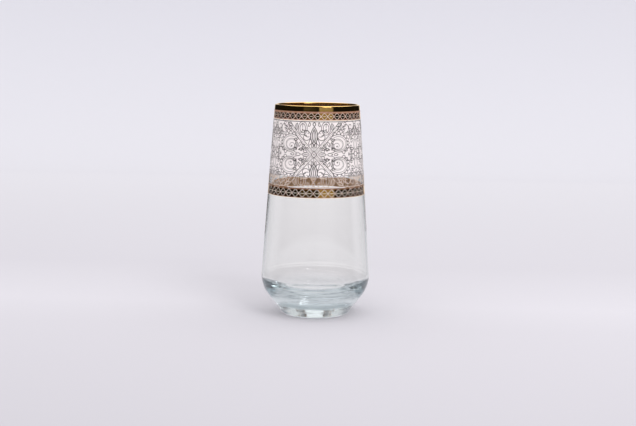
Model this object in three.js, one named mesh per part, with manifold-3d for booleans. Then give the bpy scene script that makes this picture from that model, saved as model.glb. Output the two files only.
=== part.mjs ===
// A long-drink glass: one body of clear glass with a heavy base, and the decoration fired onto its
// outside: a gilded rim, two gold lattice borders and a frieze of scrollwork between them.
// Millimetres, +Z up. The origin is the centre of the foot, on the table.
// The front of the pattern faces -Y, and turns are measured from there towards +X.
import * as THREE from "three";
import { mergeVertices } from "three/addons/utils/BufferGeometryUtils.js";
import Module from "manifold-3d";

const wasm = await Module();
wasm.setup();

// The glass body
const HEIGHT = 152; // table to the top of the gilded lip
const RIM_DIAMETER = 61; // outside of the glass at its lip
const BELLY_DIAMETER = 78.7; // widest ring of the glass
const BELLY_HEIGHT = 29; // of that ring, above the table
const SHOULDER_RADIUS = 25; // of the arc round the belly
const BASE_TAPER = 37; // degrees from upright, of the side under the belly
const FOOT_CORNER_RADIUS = 4.5;
const BEARING_WIDTH = 3.6; // flat ring that stands on the table
const PUNT_DEPTH = 3.2; // of the hollow under the foot
const WALL = 1.7;
const FLOOR_HEIGHT = 19.5; // lowest point of the bowl, above the table
const FLOOR_RADIUS = 260; // of the slightly dished floor of the bowl
const BOWL_CORNER_RADIUS = 6.5; // between that floor and the wall

// The fired-on films
const SEAT_GAP = 0.08; // from the glass to each film
const GOLD_THICKNESS = 0.15;
const BAND_GAP = 0.1; // between one band of the decoration and the next
const RIM_BAND_WIDTH = 3.6; // from the top of the lip down
const LIP_RETURN = 0.6; // of the gold, down the inside of the lip
const UPPER_BORDER_WIDTH = 6.3;
const FRIEZE_WIDTH = 46.6;
const LOWER_BORDER_WIDTH = 7.2;

// The lattice of both borders
const LATTICE_UNITS = 42; // split diamonds in one turn
const FIGURE_RISE = 0.15; // of the bright figures above the etched lines
const LINE_WIDTH = 0.7; // of the etched lines between the figures
const TOP_STRIP = 1.3; // plain strip over the diamonds
const BOTTOM_STRIP = 0.8; // plain strip under them

// The scrolls of the frieze
const PATTERN_REPEATS = 3;
const THREAD_WIDTH = 0.8;
const THREAD_HEIGHT = 0.25;
const LAYER_RISE = 0.03; // of each kind of thread above the one laid before it
const VOLUTE_WIDTH = 16.6;
const VOLUTE_HEIGHT = 13;
const VOLUTE_EYE = 3.4; // width of the innermost turn
const VOLUTE_TURNS = 1.7;
const VOLUTE_START = 225; // degrees round its middle, where it leaves the strap
const PENDANT_WIDTH = 7.4;
const PENDANT_HEIGHT = 10;
const PENDANT_OFFSET = 8.9; // along the wall, from the middle of a crossing
const LANCET_WIDTH = 4.2;
const LANCET_HEIGHT = 9;
const LANCET_START = 8.5; // above and below the middle of the frieze

// How finely curves are stepped
const SIDES = 2 * LATTICE_UNITS; // of every turned piece, so that the lattice lands on its facets
const STRAIGHT_STEP = 4; // longest step of a straight thread, so that it follows the round wall
const BELLY_STEPS = 5;
const CORNER_STEPS = 3; // of the foot and of the bowl's corner
const DISH_STEPS = 3; // of the punt and of the bowl's floor
const VOLUTE_STEPS = 20;
const LOOP_STEPS = 8;
const LIP_STEPS = 4;
const MERGE_DISTANCE = 1e-4; // within which corners of facets are the same point

// The outline of the glass: the lip and the belly are circles, and the wall is their common tangent
const glassHeight = HEIGHT - SEAT_GAP - GOLD_THICKNESS;
const lipRadius = WALL / 2;
const lipCentre = new THREE.Vector2(RIM_DIAMETER / 2 - lipRadius, glassHeight - lipRadius);
const bellyCentre = new THREE.Vector2(BELLY_DIAMETER / 2 - SHOULDER_RADIUS, BELLY_HEIGHT);
const bellyToLip = lipCentre.clone().sub(bellyCentre);
const wallLean = bellyToLip.angle() - Math.acos((SHOULDER_RADIUS - lipRadius) / bellyToLip.length());
const wallNormal = new THREE.Vector2(Math.cos(wallLean), Math.sin(wallLean));
const wallUp = new THREE.Vector2(-wallNormal.y, wallNormal.x);
const wallOffset = wallNormal.dot(bellyCentre) + SHOULDER_RADIUS;
const wallFoot = BELLY_HEIGHT + SHOULDER_RADIUS * wallNormal.y;

const taper = THREE.MathUtils.degToRad(BASE_TAPER);
const taperNormal = new THREE.Vector2(Math.cos(taper), -Math.sin(taper));
const taperOffset = taperNormal.dot(bellyCentre) + SHOULDER_RADIUS;
const footReach = taperOffset - FOOT_CORNER_RADIUS * (1 - Math.sin(taper));
const footCentre = new THREE.Vector2(footReach / Math.cos(taper), FOOT_CORNER_RADIUS);
const puntRim = footCentre.x - BEARING_WIDTH;
const puntRadius = (puntRim ** 2 + PUNT_DEPTH ** 2) / (2 * PUNT_DEPTH);
const puntCentre = new THREE.Vector2(0, PUNT_DEPTH - puntRadius);

const floorCentre = new THREE.Vector2(0, FLOOR_HEIGHT + FLOOR_RADIUS);
const bowlCorner = cornerBetweenFloorAndWall();

// The centre of the arc that touches the dished floor of the bowl and the inside of the wall.
function cornerBetweenFloorAndWall() {
  const onNormal = wallNormal.clone().multiplyScalar(wallOffset - WALL - BOWL_CORNER_RADIUS);
  const fromFloor = onNormal.clone().sub(floorCentre);
  const along = fromFloor.dot(wallUp);
  const reach = FLOOR_RADIUS - BOWL_CORNER_RADIUS;
  const down = along + Math.sqrt(along ** 2 - fromFloor.lengthSq() + reach ** 2);
  return onNormal.addScaledVector(wallUp, -down);
}

// Outside radius of the glass at a height on its wall or round its belly.
function outsideRadius(height) {
  if (height >= wallFoot) {
    return (wallOffset - height * wallNormal.y) / wallNormal.x;
  }
  return bellyCentre.x + Math.sqrt(SHOULDER_RADIUS ** 2 - (height - BELLY_HEIGHT) ** 2);
}

// Points on an arc of an outline, from one direction to another.
function arc(centre, radius, from, to, steps) {
  const points = [];
  for (let i = 0; i <= steps; i += 1) {
    const direction = from + ((to - from) * i) / steps;
    const reach = new THREE.Vector2(Math.cos(direction), Math.sin(direction));
    points.push(centre.clone().addScaledVector(reach, radius));
  }
  return points;
}

// A solid of revolution about +Z. Its first facet edge lies on -Y.
function turned(outline) {
  return new THREE.LatheGeometry(outline, SIDES).rotateX(Math.PI / 2);
}

// A point at a turn from -Y towards +X.
function atTurn(turn, radius, height) {
  return new THREE.Vector3(radius * Math.sin(turn), -radius * Math.cos(turn), height);
}

// Glass body: punt, bearing ring, tapered base, belly, wall, round lip and bowl, as one outline
function glassBody() {
  const down = -Math.PI / 2;
  const puntEdge = Math.atan2(-puntCentre.y, puntRim);
  const floorEdge = bowlCorner.clone().sub(floorCentre).angle() - 2 * Math.PI;
  return turned([
    ...arc(puntCentre, puntRadius, Math.PI / 2, puntEdge, DISH_STEPS),
    ...arc(footCentre, FOOT_CORNER_RADIUS, down, -taper, CORNER_STEPS),
    ...arc(bellyCentre, SHOULDER_RADIUS, -taper, wallLean, BELLY_STEPS),
    ...arc(lipCentre, lipRadius, wallLean, wallLean + Math.PI, LIP_STEPS),
    ...arc(bowlCorner, BOWL_CORNER_RADIUS, wallLean, floorEdge, CORNER_STEPS),
    ...arc(floorCentre, FLOOR_RADIUS, floorEdge, down, DISH_STEPS).slice(1),
  ]);
}

// Gilded rim: a film that starts on the outside, goes over the lip and ends just inside it
function rimBand() {
  const side = (lift) => {
    const radius = lipRadius + lift;
    const start = new THREE.Vector2(outsideRadius(rimBandBottom) + lift / wallNormal.x, rimBandBottom);
    const lip = arc(lipCentre, radius, wallLean, wallLean + Math.PI, LIP_STEPS);
    const end = lip.at(-1).clone().addScaledVector(wallUp, -LIP_RETURN);
    return [start, ...lip, end];
  };
  const outer = side(SEAT_GAP + GOLD_THICKNESS);
  const inner = side(SEAT_GAP).reverse();
  return turned([...outer, ...inner, outer[0]]);
}

// Heights of the bands, from the rim down
const rimBandBottom = HEIGHT - RIM_BAND_WIDTH;
const upperBorderTop = rimBandBottom - BAND_GAP;
const friezeTop = upperBorderTop - UPPER_BORDER_WIDTH - BAND_GAP;
const lowerBorderTop = friezeTop - FRIEZE_WIDTH - BAND_GAP;

// Collects triangles of points and turns them into a closed geometry.
class Facets {
  positions = [];

  // Adds a flat or folded polygon as a fan, its corners anticlockwise as seen from outside.
  add(...corners) {
    for (let i = 2; i < corners.length; i += 1) {
      for (const corner of [corners[0], corners[i - 1], corners[i]]) {
        this.positions.push(corner.x, corner.y, corner.z);
      }
    }
  }

  geometry() {
    const array = new Float32Array(this.positions);
    const made = new THREE.BufferGeometry();
    made.setAttribute("position", new THREE.BufferAttribute(array, 3));
    return closedMesh(made);
  }
}

// A geometry with only its positions, and with corners that meet made one.
function closedMesh(geometry) {
  geometry.deleteAttribute("normal");
  geometry.deleteAttribute("uv");
  return mergeVertices(geometry, MERGE_DISTANCE);
}

// The corners of a triangle moved in by half the width of the etched lines.
function insetTriangle(corners) {
  const [a, b, c] = corners;
  const sides = [b.distanceTo(c), c.distanceTo(a), a.distanceTo(b)];
  const round = sides[0] + sides[1] + sides[2];
  const middle = new THREE.Vector2();
  corners.forEach((corner, i) => middle.addScaledVector(corner, sides[i] / round));
  const twiceArea = Math.abs(b.clone().sub(a).cross(c.clone().sub(a)));
  const share = LINE_WIDTH / 2 / (twiceArea / round);
  return corners.map((corner) => corner.clone().lerp(middle, share));
}

// Lattice border: a gold film whose bright triangles stand up between etched lines. Each unit is a
// diamond split by a level line, and neighbouring diamonds meet at the crossing of two slanted lines.
function latticeBorder(top, width) {
  const bottom = top - width;
  const high = top - TOP_STRIP;
  const low = bottom + BOTTOM_STRIP;
  const middle = (high + low) / 2;
  const unitTurn = (2 * Math.PI) / LATTICE_UNITS;
  const unitArc = unitTurn * outsideRadius(middle);
  const film = new Facets();
  for (let unit = 0; unit < LATTICE_UNITS; unit += 1) {
    // x runs along the wall from the middle of the unit, y is the height
    const place = (point, lift) => {
      const turn = (unit + 0.5 + point.x / unitArc) * unitTurn;
      return atTurn(turn, outsideRadius(point.y) + SEAT_GAP + lift, point.y);
    };
    const face = (x, y) => place(new THREE.Vector2(x, y), GOLD_THICKNESS);
    const back = (x, y) => place(new THREE.Vector2(x, y), 0);
    const half = unitArc / 2;
    for (const [from, to] of [[-half, 0], [0, half]]) {
      film.add(back(to, bottom), back(from, bottom), back(from, top), back(to, top));
      film.add(face(from, top), face(to, top), back(to, top), back(from, top));
      film.add(back(from, bottom), back(to, bottom), face(to, bottom), face(from, bottom));
    }
    film.add(face(-half, middle), face(0, high), face(0, top), face(-half, top));
    film.add(face(0, high), face(half, middle), face(half, top), face(0, top));
    film.add(face(-half, bottom), face(0, bottom), face(0, low), face(-half, middle));
    film.add(face(0, bottom), face(half, bottom), face(half, middle), face(0, low));
    const left = new THREE.Vector2(-half, middle);
    const right = new THREE.Vector2(half, middle);
    const upper = [left, right, new THREE.Vector2(0, high)];
    const lower = [right, left, new THREE.Vector2(0, low)];
    for (const ring of [upper, lower]) {
      const raised = insetTriangle(ring).map((point) => place(point, GOLD_THICKNESS + FIGURE_RISE));
      const foot = ring.map((point) => place(point, GOLD_THICKNESS));
      film.add(...raised);
      ring.forEach((_, i) => {
        const next = (i + 1) % ring.length;
        film.add(foot[i], foot[next], raised[next], raised[i]);
      });
    }
  }
  return film.geometry();
}

// The frieze is drawn on the unrolled wall: x along it at the middle of the frieze, y up from there
const friezeHalf = FRIEZE_WIDTH / 2;
const friezeMiddle = friezeTop - friezeHalf;
const friezeRadius = outsideRadius(friezeMiddle);
const repeatArc = (2 * Math.PI * friezeRadius) / PATTERN_REPEATS;
const ringReach = friezeHalf - THREAD_WIDTH / 2; // of an edge ring from the middle of the frieze
const threadReach = ringReach - THREAD_WIDTH / 4; // of a thread that ends in an edge ring

function onFrieze(point, lift) {
  const height = friezeMiddle + point.y;
  return atTurn(point.x / friezeRadius, outsideRadius(height) + SEAT_GAP + lift, height);
}

// A raised thread along a path on the unrolled wall: a flat back and a ridge, capped or joined up.
function thread(path, closed, layer) {
  const base = layer * LAYER_RISE;
  const last = path.length - 1;
  const sections = path.map((point, i) => {
    const before = path[closed ? (i + last) % path.length : Math.max(i - 1, 0)];
    const after = path[closed ? (i + 1) % path.length : Math.min(i + 1, last)];
    const along = after.clone().sub(before).normalize();
    const across = new THREE.Vector2(-along.y, along.x).multiplyScalar(THREAD_WIDTH / 2);
    return [
      onFrieze(point.clone().add(across), base),
      onFrieze(point, base + THREAD_HEIGHT),
      onFrieze(point.clone().sub(across), base),
    ];
  });
  const solid = new Facets();
  const steps = closed ? path.length : last;
  for (let i = 0; i < steps; i += 1) {
    const near = sections[i];
    const far = sections[(i + 1) % path.length];
    near.forEach((_, side) => {
      const next = (side + 1) % near.length;
      solid.add(near[side], near[next], far[next], far[side]);
    });
  }
  if (!closed) {
    solid.add(...sections[0].toReversed());
    solid.add(...sections[last]);
  }
  return solid.geometry();
}

// The order in which the kinds of thread are laid, the edge rings first
const LAYERS = { backStrap: 1, frontStrap: 2, stem: 3, bar: 4, volute: 5, pendant: 6, lancet: 7 };

// A thread that goes right round the glass at an edge of the frieze, in the lowest layer.
function edgeRing(edge) {
  const low = friezeMiddle + edge - THREAD_WIDTH / 2;
  const high = low + THREAD_WIDTH;
  const crest = friezeMiddle + edge;
  const outline = [
    new THREE.Vector2(outsideRadius(low) + SEAT_GAP, low),
    new THREE.Vector2(outsideRadius(crest) + SEAT_GAP + THREAD_HEIGHT, crest),
    new THREE.Vector2(outsideRadius(high) + SEAT_GAP, high),
  ];
  return closedMesh(turned([...outline, outline[0]]));
}

// Points at even steps of a path from 0 to 1, which leaves out 1 on a path that closes.
function stepped(steps, closed, pointAt) {
  const count = closed ? steps : steps + 1;
  return Array.from({ length: count }, (_, i) => pointAt(i / steps));
}

const straight = (fromX, fromY, toX, toY) => (share) =>
  new THREE.Vector2(fromX + (toX - fromX) * share, fromY + (toY - fromY) * share);

const oval = (x, y, width, height) => (share) => {
  const angle = 2 * Math.PI * share;
  return new THREE.Vector2(x + (width / 2) * Math.cos(angle), y + (height / 2) * Math.sin(angle));
};

// A pointed oval with its points above and below its middle.
const lancet = (x, y, width, height) => (share) => {
  const angle = 2 * Math.PI * share;
  const side = (width / 2) * Math.sin(angle) * Math.abs(Math.sin(angle));
  return new THREE.Vector2(x + side, y - (height / 2) * Math.cos(angle));
};

// A scroll that leaves the slanted strap, goes under its middle and winds in to its eye.
const volute = (x, y, flipX, flipY) => (share) => {
  const angle = THREE.MathUtils.degToRad(VOLUTE_START + 360 * VOLUTE_TURNS * share);
  const scale = 1 + (VOLUTE_EYE / VOLUTE_WIDTH - 1) * share;
  const reachX = (VOLUTE_WIDTH / 2) * scale * Math.cos(angle);
  const reachY = (VOLUTE_HEIGHT / 2) * scale * Math.sin(angle);
  return new THREE.Vector2(x + flipX * reachX, y + flipY * reachY);
};

// Scroll frieze: edge rings, straps that cross, stems, level bars, volutes, pendants and lancets
function scrollFrieze() {
  const threads = [];
  const lay = (layer, steps, closed, pointAt) => {
    threads.push(thread(stepped(steps, closed, pointAt), closed, layer));
  };
  const quarter = repeatArc / 4;
  const drop = quarter - Math.hypot(VOLUTE_WIDTH, VOLUTE_HEIGHT) / 2; // sets each volute against its strap
  const barReach = quarter + VOLUTE_WIDTH / 4; // of the level bar, to both sides over the volutes
  const barSteps = Math.ceil((2 * barReach) / STRAIGHT_STEP);
  const strapSteps = Math.ceil((2 * threadReach) / STRAIGHT_STEP);
  threads.push(edgeRing(-ringReach), edgeRing(ringReach));
  for (let repeat = 0; repeat < PATTERN_REPEATS; repeat += 1) {
    const crossing = repeat * repeatArc;
    const between = crossing + repeatArc / 2;
    for (const middle of [crossing, between]) {
      lay(LAYERS.stem, 1, false, straight(middle, -threadReach, middle, threadReach));
    }
    lay(LAYERS.bar, barSteps, false, straight(between - barReach, 0, between + barReach, 0));
    for (const flipX of [-1, 1]) {
      const strapLayer = flipX < 0 ? LAYERS.backStrap : LAYERS.frontStrap;
      const strapEnd = flipX * threadReach;
      const along = straight(crossing - strapEnd, threadReach, crossing + strapEnd, -threadReach);
      lay(strapLayer, strapSteps, false, along);
      for (const flipY of [-1, 1]) {
        const pendantHeight = flipY * (threadReach - PENDANT_HEIGHT / 2);
        const pendantMiddle = crossing + flipX * PENDANT_OFFSET;
        const pendant = oval(pendantMiddle, pendantHeight, PENDANT_WIDTH, PENDANT_HEIGHT);
        const scroll = volute(crossing + flipX * quarter, -flipY * drop, flipX, flipY);
        lay(LAYERS.volute, VOLUTE_STEPS, false, scroll);
        lay(LAYERS.pendant, LOOP_STEPS, true, pendant);
      }
    }
    for (const flipY of [-1, 1]) {
      const lancetMiddle = flipY * (LANCET_START + LANCET_HEIGHT / 2);
      const leaf = lancet(crossing, lancetMiddle, LANCET_WIDTH, LANCET_HEIGHT);
      lay(LAYERS.lancet, LOOP_STEPS, true, leaf);
    }
  }
  return joined(threads);
}

// Closed geometries joined into one.
function joined(geometries) {
  const solids = geometries.map((geometry) => {
    const mesh = new wasm.Mesh({
      numProp: 3,
      vertProperties: geometry.attributes.position.array,
      triVerts: new Uint32Array(geometry.index.array),
    });
    return new wasm.Manifold(mesh);
  });
  const whole = solids.reduce((sum, solid) => sum.add(solid)).getMesh();
  const made = new THREE.BufferGeometry();
  made.setAttribute("position", new THREE.BufferAttribute(whole.vertProperties, 3));
  made.setIndex(new THREE.BufferAttribute(whole.triVerts, 1));
  return made;
}

// Finishes
const clearGlass = new THREE.MeshStandardMaterial({
  color: 0xe9eeee,
  roughness: 0.02,
  metalness: 0,
  transparent: true,
  opacity: 0.35,
});
const brightGold = new THREE.MeshStandardMaterial({ color: 0xd9b36a, roughness: 0.08, metalness: 1 });
const satinGold = new THREE.MeshStandardMaterial({ color: 0xc39a72, roughness: 0.45, metalness: 1 });
const frostedLine = new THREE.MeshStandardMaterial({ color: 0xbdb4b3, roughness: 0.85, metalness: 0 });

// The glass, assembled
const drinkingGlass = new THREE.Group();
const pieces = [
  ["glass_body", glassBody(), clearGlass],
  ["rim_gold_band", rimBand(), brightGold],
  ["upper_border_band", latticeBorder(upperBorderTop, UPPER_BORDER_WIDTH), satinGold],
  ["scroll_frieze", scrollFrieze(), frostedLine],
  ["lower_border_band", latticeBorder(lowerBorderTop, LOWER_BORDER_WIDTH), satinGold],
];
for (const [name, geometry, material] of pieces) {
  const mesh = new THREE.Mesh(geometry, material);
  mesh.name = name;
  drinkingGlass.add(mesh);
}

export default drinkingGlass;
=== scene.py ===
"""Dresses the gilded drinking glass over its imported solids.

A clear pressed tumbler with a heavy foot carries four fired-on films on its upper half: a polished
gold rim band, two satin gold lattice borders and, between them, a frosted frieze of scrollwork.
Sizes of the glass are in millimetres and become metres where its meshes are made. Those of the studio
are in metres. Turns go from -Y, the side that the photograph shows, towards +X.
"""

import logging
import math
from dataclasses import dataclass, field, replace
from enum import Enum
from typing import Any, Iterator, Optional, Sequence, Union

import bpy
import numpy as np
from mathutils import Euler, Matrix


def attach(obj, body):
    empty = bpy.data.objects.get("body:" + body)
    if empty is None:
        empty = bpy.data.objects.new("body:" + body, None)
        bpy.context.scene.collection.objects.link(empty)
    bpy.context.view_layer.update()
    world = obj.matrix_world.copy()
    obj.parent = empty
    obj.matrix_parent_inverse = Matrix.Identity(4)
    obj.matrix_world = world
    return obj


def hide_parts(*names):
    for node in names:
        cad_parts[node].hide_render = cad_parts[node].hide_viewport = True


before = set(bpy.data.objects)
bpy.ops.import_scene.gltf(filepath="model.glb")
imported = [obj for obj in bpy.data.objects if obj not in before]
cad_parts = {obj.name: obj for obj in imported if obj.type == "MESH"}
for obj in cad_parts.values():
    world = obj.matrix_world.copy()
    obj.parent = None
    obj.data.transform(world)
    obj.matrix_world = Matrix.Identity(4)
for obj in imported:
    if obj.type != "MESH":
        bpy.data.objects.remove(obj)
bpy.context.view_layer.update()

LOG = logging.getLogger("drinking_glass")
MM = 0.001
TAU = 2 * math.pi
BODY = "root"

# Bare glass between one film and the next.
FILM_GAP = 0.1

# The colour sockets of a Mix node, which share their names with its other sockets.
MIX_SHARE = 0
MIX_FIRST = 6
MIX_SECOND = 7
MIX_RESULT = 2

Point = tuple[float, float]
Colour = tuple[float, float, float, float]
Bands = tuple[tuple[float, str], ...]


class BorderTone(Enum):
    """Ground colour of a lattice border."""

    BROWN = "brown"
    ROSE = "rose"


class Slot(Enum):
    """The record's finishes, by slot name."""

    CLEAR_GLASS = "clear_glass"
    BRIGHT_GOLD = "bright_gold"
    LATTICE_GOLD = "lattice_gold"
    FROSTED_SCROLL = "frosted_scroll"


class Symmetry(Enum):
    """How a stroke of the frieze is repeated about its pattern axis and its middle line."""

    QUARTERS = ((1, 1), (-1, 1), (1, -1), (-1, -1))
    UPRIGHT = ((1, 1), (1, -1))
    SINGLE = ((1, 1),)


def linear(hex_colour: str, alpha: float = 1.0) -> Colour:
    """Turns an sRGB hex colour into linear light.

    Args:
        hex_colour: six hex digits after a hash.
        alpha: the fourth channel.

    Returns:
        Linear red, green, blue and alpha.
    """
    parts = [int(hex_colour[i : i + 2], 16) / 255 for i in (1, 3, 5)]
    light = [c / 12.92 if c <= 0.04045 else ((c + 0.055) / 1.055) ** 2.4 for c in parts]
    return (light[0], light[1], light[2], alpha)


def add_node(
    tree: bpy.types.NodeTree,
    kind: str,
    inputs: Optional[dict[Union[str, int], Any]] = None,
    **settings: Any,
) -> bpy.types.Node:
    """Adds one node with its settings, its socket values and its links.

    Args:
        tree: the node tree that gets the node.
        kind: the node's type name.
        inputs: a value, or an output socket to link, for each input by name or number.
        settings: the node's own properties.

    Returns:
        The new node.
    """
    node = tree.nodes.new(kind)
    for name, value in settings.items():
        setattr(node, name, value)
    for key, value in (inputs or {}).items():
        if isinstance(value, bpy.types.NodeSocket):
            tree.links.new(value, node.inputs[key])
        else:
            node.inputs[key].default_value = value
    return node


def set_ramp(node: bpy.types.Node, stops: Sequence[tuple[float, Colour]]) -> bpy.types.Node:
    """Gives a colour ramp its stops.

    Args:
        node: a Color Ramp node.
        stops: place and colour of each stop, in order.

    Returns:
        The same node.
    """
    elements = node.color_ramp.elements
    while len(elements) < len(stops):
        elements.new(0.5)
    for element, (place, colour) in zip(elements, stops):
        element.position = place
        element.color = colour
    return node


def empty_material(name: str) -> tuple[bpy.types.Material, bpy.types.NodeTree]:
    """Makes a material with an empty node tree.

    Args:
        name: the real material's name.

    Returns:
        The material and its node tree.
    """
    material = bpy.data.materials.new(name)
    material.use_nodes = True
    material.node_tree.nodes.clear()
    return material, material.node_tree


@dataclass(frozen=True)
class Relief:
    """A faint unevenness of the glass: the size and depth of its waves, and the heights at which it
    is gone and in full."""

    size_mm: tuple[float, float, float]
    depth_mm: float
    none_mm: float
    full_mm: float
    detail: float = 0.0


@dataclass(frozen=True)
class ClearGlass:
    """Pressed soda-lime glass, fire-polished: a clean, colourless wall and a heavy foot that turns
    faintly blue-grey where the light's way through it is long."""

    ior: float = 1.52
    roughness: float = 0.0
    tint: str = "#D5E6EA"
    tint_per_metre: float = 9.0
    ripple_mm: float = 34.0
    ripple_depth_mm: float = 0.01
    foot_streaks: Relief = Relief(
        size_mm=(30.0, 30.0, 3.0), depth_mm=0.22, none_mm=34.0, full_mm=26.0, detail=2.5
    )
    sole_waves: Relief = Relief(
        size_mm=(6.0, 6.0, 6.0), depth_mm=0.3, none_mm=4.0, full_mm=2.0
    )

    def material(self) -> bpy.types.Material:
        """Makes the glass, with the slow ripple of its wall and the unevenness of its pressed foot.

        Returns:
            The material.
        """
        material, tree = empty_material("soda_lime_glass_fire_polished")
        place = add_node(tree, "ShaderNodeTexCoord").outputs["Object"]
        height = add_node(tree, "ShaderNodeSeparateXYZ", {"Vector": place}).outputs["Z"]
        ripple = add_node(
            tree,
            "ShaderNodeTexNoise",
            {"Vector": place, "Scale": 1 / (self.ripple_mm * MM), "Detail": 0.0},
        )
        wall = add_node(
            tree,
            "ShaderNodeBump",
            {"Height": ripple.outputs["Fac"], "Distance": self.ripple_depth_mm * MM},
        )
        normal = wall.outputs["Normal"]
        for relief in (self.foot_streaks, self.sole_waves):
            sized = add_node(
                tree,
                "ShaderNodeMapping",
                {"Vector": place, "Scale": tuple(1 / (size * MM) for size in relief.size_mm)},
            )
            waves = add_node(
                tree,
                "ShaderNodeTexNoise",
                {"Vector": sized.outputs["Vector"], "Scale": 1.0, "Detail": relief.detail},
            )
            fade = add_node(
                tree,
                "ShaderNodeMapRange",
                {
                    "Value": height,
                    "From Min": relief.none_mm * MM,
                    "From Max": relief.full_mm * MM,
                },
            )
            faded = add_node(
                tree,
                "ShaderNodeMath",
                {0: waves.outputs["Fac"], 1: fade.outputs["Result"]},
                operation="MULTIPLY",
            )
            bump = add_node(
                tree,
                "ShaderNodeBump",
                {
                    "Height": faded.outputs["Value"],
                    "Distance": relief.depth_mm * MM,
                    "Normal": normal,
                },
            )
            normal = bump.outputs["Normal"]
        shader = add_node(
            tree,
            "ShaderNodeBsdfPrincipled",
            {
                "Base Color": (1, 1, 1, 1),
                "Roughness": self.roughness,
                "IOR": self.ior,
                "Transmission Weight": 1.0,
                "Normal": normal,
            },
        )
        depth = add_node(
            tree,
            "ShaderNodeVolumeAbsorption",
            {"Color": linear(self.tint), "Density": self.tint_per_metre},
        )
        add_node(
            tree,
            "ShaderNodeOutputMaterial",
            {"Surface": shader.outputs["BSDF"], "Volume": depth.outputs["Volume"]},
        )
        return material


@dataclass(frozen=True)
class FiredGold:
    """Liquid gold fired onto the glass: polished where the band is plain, satin where it is
    lattice-etched, with the faint ring-wise streaks of the banding brush."""

    name: str
    colour: str
    worn_colour: str
    metallic: float
    roughness: float
    roughness_spread: float
    # The streaks are drawn coarser than a brush's own, so that they show.
    streak_mm: float = 0.7
    streak_length_mm: float = 14.0
    streak_depth_mm: float = 0.002
    streak_detail: float = 2.0
    grain_mm: float = 1.4
    grain_detail: float = 3.0
    # Levels of the cloudy grain at which the gold is worn, has its full colour and its full gloss.
    worn_level: float = 0.3
    colour_level: float = 0.62
    gloss_level: float = 0.7

    def material(self) -> bpy.types.Material:
        """Makes the gold, with brush streaks in its bump and a cloudy change of tone and gloss.

        Returns:
            The material.
        """
        material, tree = empty_material(self.name)
        place = add_node(tree, "ShaderNodeTexCoord").outputs["Object"]
        brush_mm = (self.streak_length_mm, self.streak_length_mm, self.streak_mm)
        sized = add_node(
            tree,
            "ShaderNodeMapping",
            {"Vector": place, "Scale": tuple(1 / (size * MM) for size in brush_mm)},
        )
        streaks = add_node(
            tree,
            "ShaderNodeTexNoise",
            {"Vector": sized.outputs["Vector"], "Scale": 1.0, "Detail": self.streak_detail},
        )
        cloud = add_node(
            tree,
            "ShaderNodeTexNoise",
            {"Vector": place, "Scale": 1 / (self.grain_mm * MM), "Detail": self.grain_detail},
        )
        tone = set_ramp(
            add_node(tree, "ShaderNodeValToRGB", {"Fac": cloud.outputs["Fac"]}),
            [
                (self.worn_level, linear(self.worn_colour)),
                (self.colour_level, linear(self.colour)),
            ],
        )
        gloss = add_node(
            tree,
            "ShaderNodeMapRange",
            {
                "Value": cloud.outputs["Fac"],
                "From Min": self.worn_level,
                "From Max": self.gloss_level,
                "To Min": self.roughness + self.roughness_spread,
                "To Max": self.roughness,
            },
        )
        bump = add_node(
            tree,
            "ShaderNodeBump",
            {"Height": streaks.outputs["Fac"], "Distance": self.streak_depth_mm * MM},
        )
        shader = add_node(
            tree,
            "ShaderNodeBsdfPrincipled",
            {
                "Base Color": tone.outputs["Color"],
                "Metallic": self.metallic,
                "Roughness": gloss.outputs["Result"],
                "Normal": bump.outputs["Normal"],
            },
        )
        add_node(tree, "ShaderNodeOutputMaterial", {"Surface": shader.outputs["BSDF"]})
        return material


@dataclass(frozen=True)
class FrostedEnamel:
    """Frosted enamel, screen-printed and fired: matte and a little grainy, opaque in the drawn lines
    and a thin milky breath over the ground between them. Low on the frieze its cover falls, and where a
    low colour is given, it turns to that colour instead."""

    name: str
    colour: str
    grain_colour: str
    roughness: float
    cover: float = 1.0
    low_cover: float = 1.0
    low_colour: Optional[str] = None
    low_height: float = 102.3
    full_height: float = 103.2
    # The grain is drawn coarser than a real frit, so that it shows.
    grain_mm: float = 0.8
    grain_detail: float = 4.0
    # Levels of the grain at which the enamel has its grain's colour and its own.
    grain_level: float = 0.32
    colour_level: float = 0.66

    def material(self) -> bpy.types.Material:
        """Makes the enamel, with its grain and with its change low on the frieze.

        Returns:
            The material.
        """
        material, tree = empty_material(self.name)
        place = add_node(tree, "ShaderNodeTexCoord").outputs["Object"]
        grain = add_node(
            tree,
            "ShaderNodeTexNoise",
            {"Vector": place, "Scale": 1 / (self.grain_mm * MM), "Detail": self.grain_detail},
        )
        tone = set_ramp(
            add_node(tree, "ShaderNodeValToRGB", {"Fac": grain.outputs["Fac"]}),
            [
                (self.grain_level, linear(self.grain_colour)),
                (self.colour_level, linear(self.colour)),
            ],
        )
        sockets: dict[Union[str, int], Any] = {
            "Base Color": tone.outputs["Color"],
            "Roughness": self.roughness,
        }
        if self.low_cover < self.cover:
            height = add_node(tree, "ShaderNodeSeparateXYZ", {"Vector": place}).outputs["Z"]
            cover = add_node(
                tree,
                "ShaderNodeMapRange",
                {
                    "Value": height,
                    "From Min": self.low_height * MM,
                    "From Max": self.full_height * MM,
                    "To Min": self.low_cover,
                    "To Max": self.cover,
                },
            )
            if self.low_colour:
                drawn = add_node(
                    tree,
                    "ShaderNodeMix",
                    {
                        MIX_SHARE: cover.outputs["Result"],
                        MIX_FIRST: linear(self.low_colour),
                        MIX_SECOND: tone.outputs["Color"],
                    },
                    data_type="RGBA",
                )
                sockets["Base Color"] = drawn.outputs[MIX_RESULT]
            else:
                sockets["Alpha"] = cover.outputs["Result"]
        shader = add_node(tree, "ShaderNodeBsdfPrincipled", sockets)
        add_node(tree, "ShaderNodeOutputMaterial", {"Surface": shader.outputs["BSDF"]})
        return material


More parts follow.
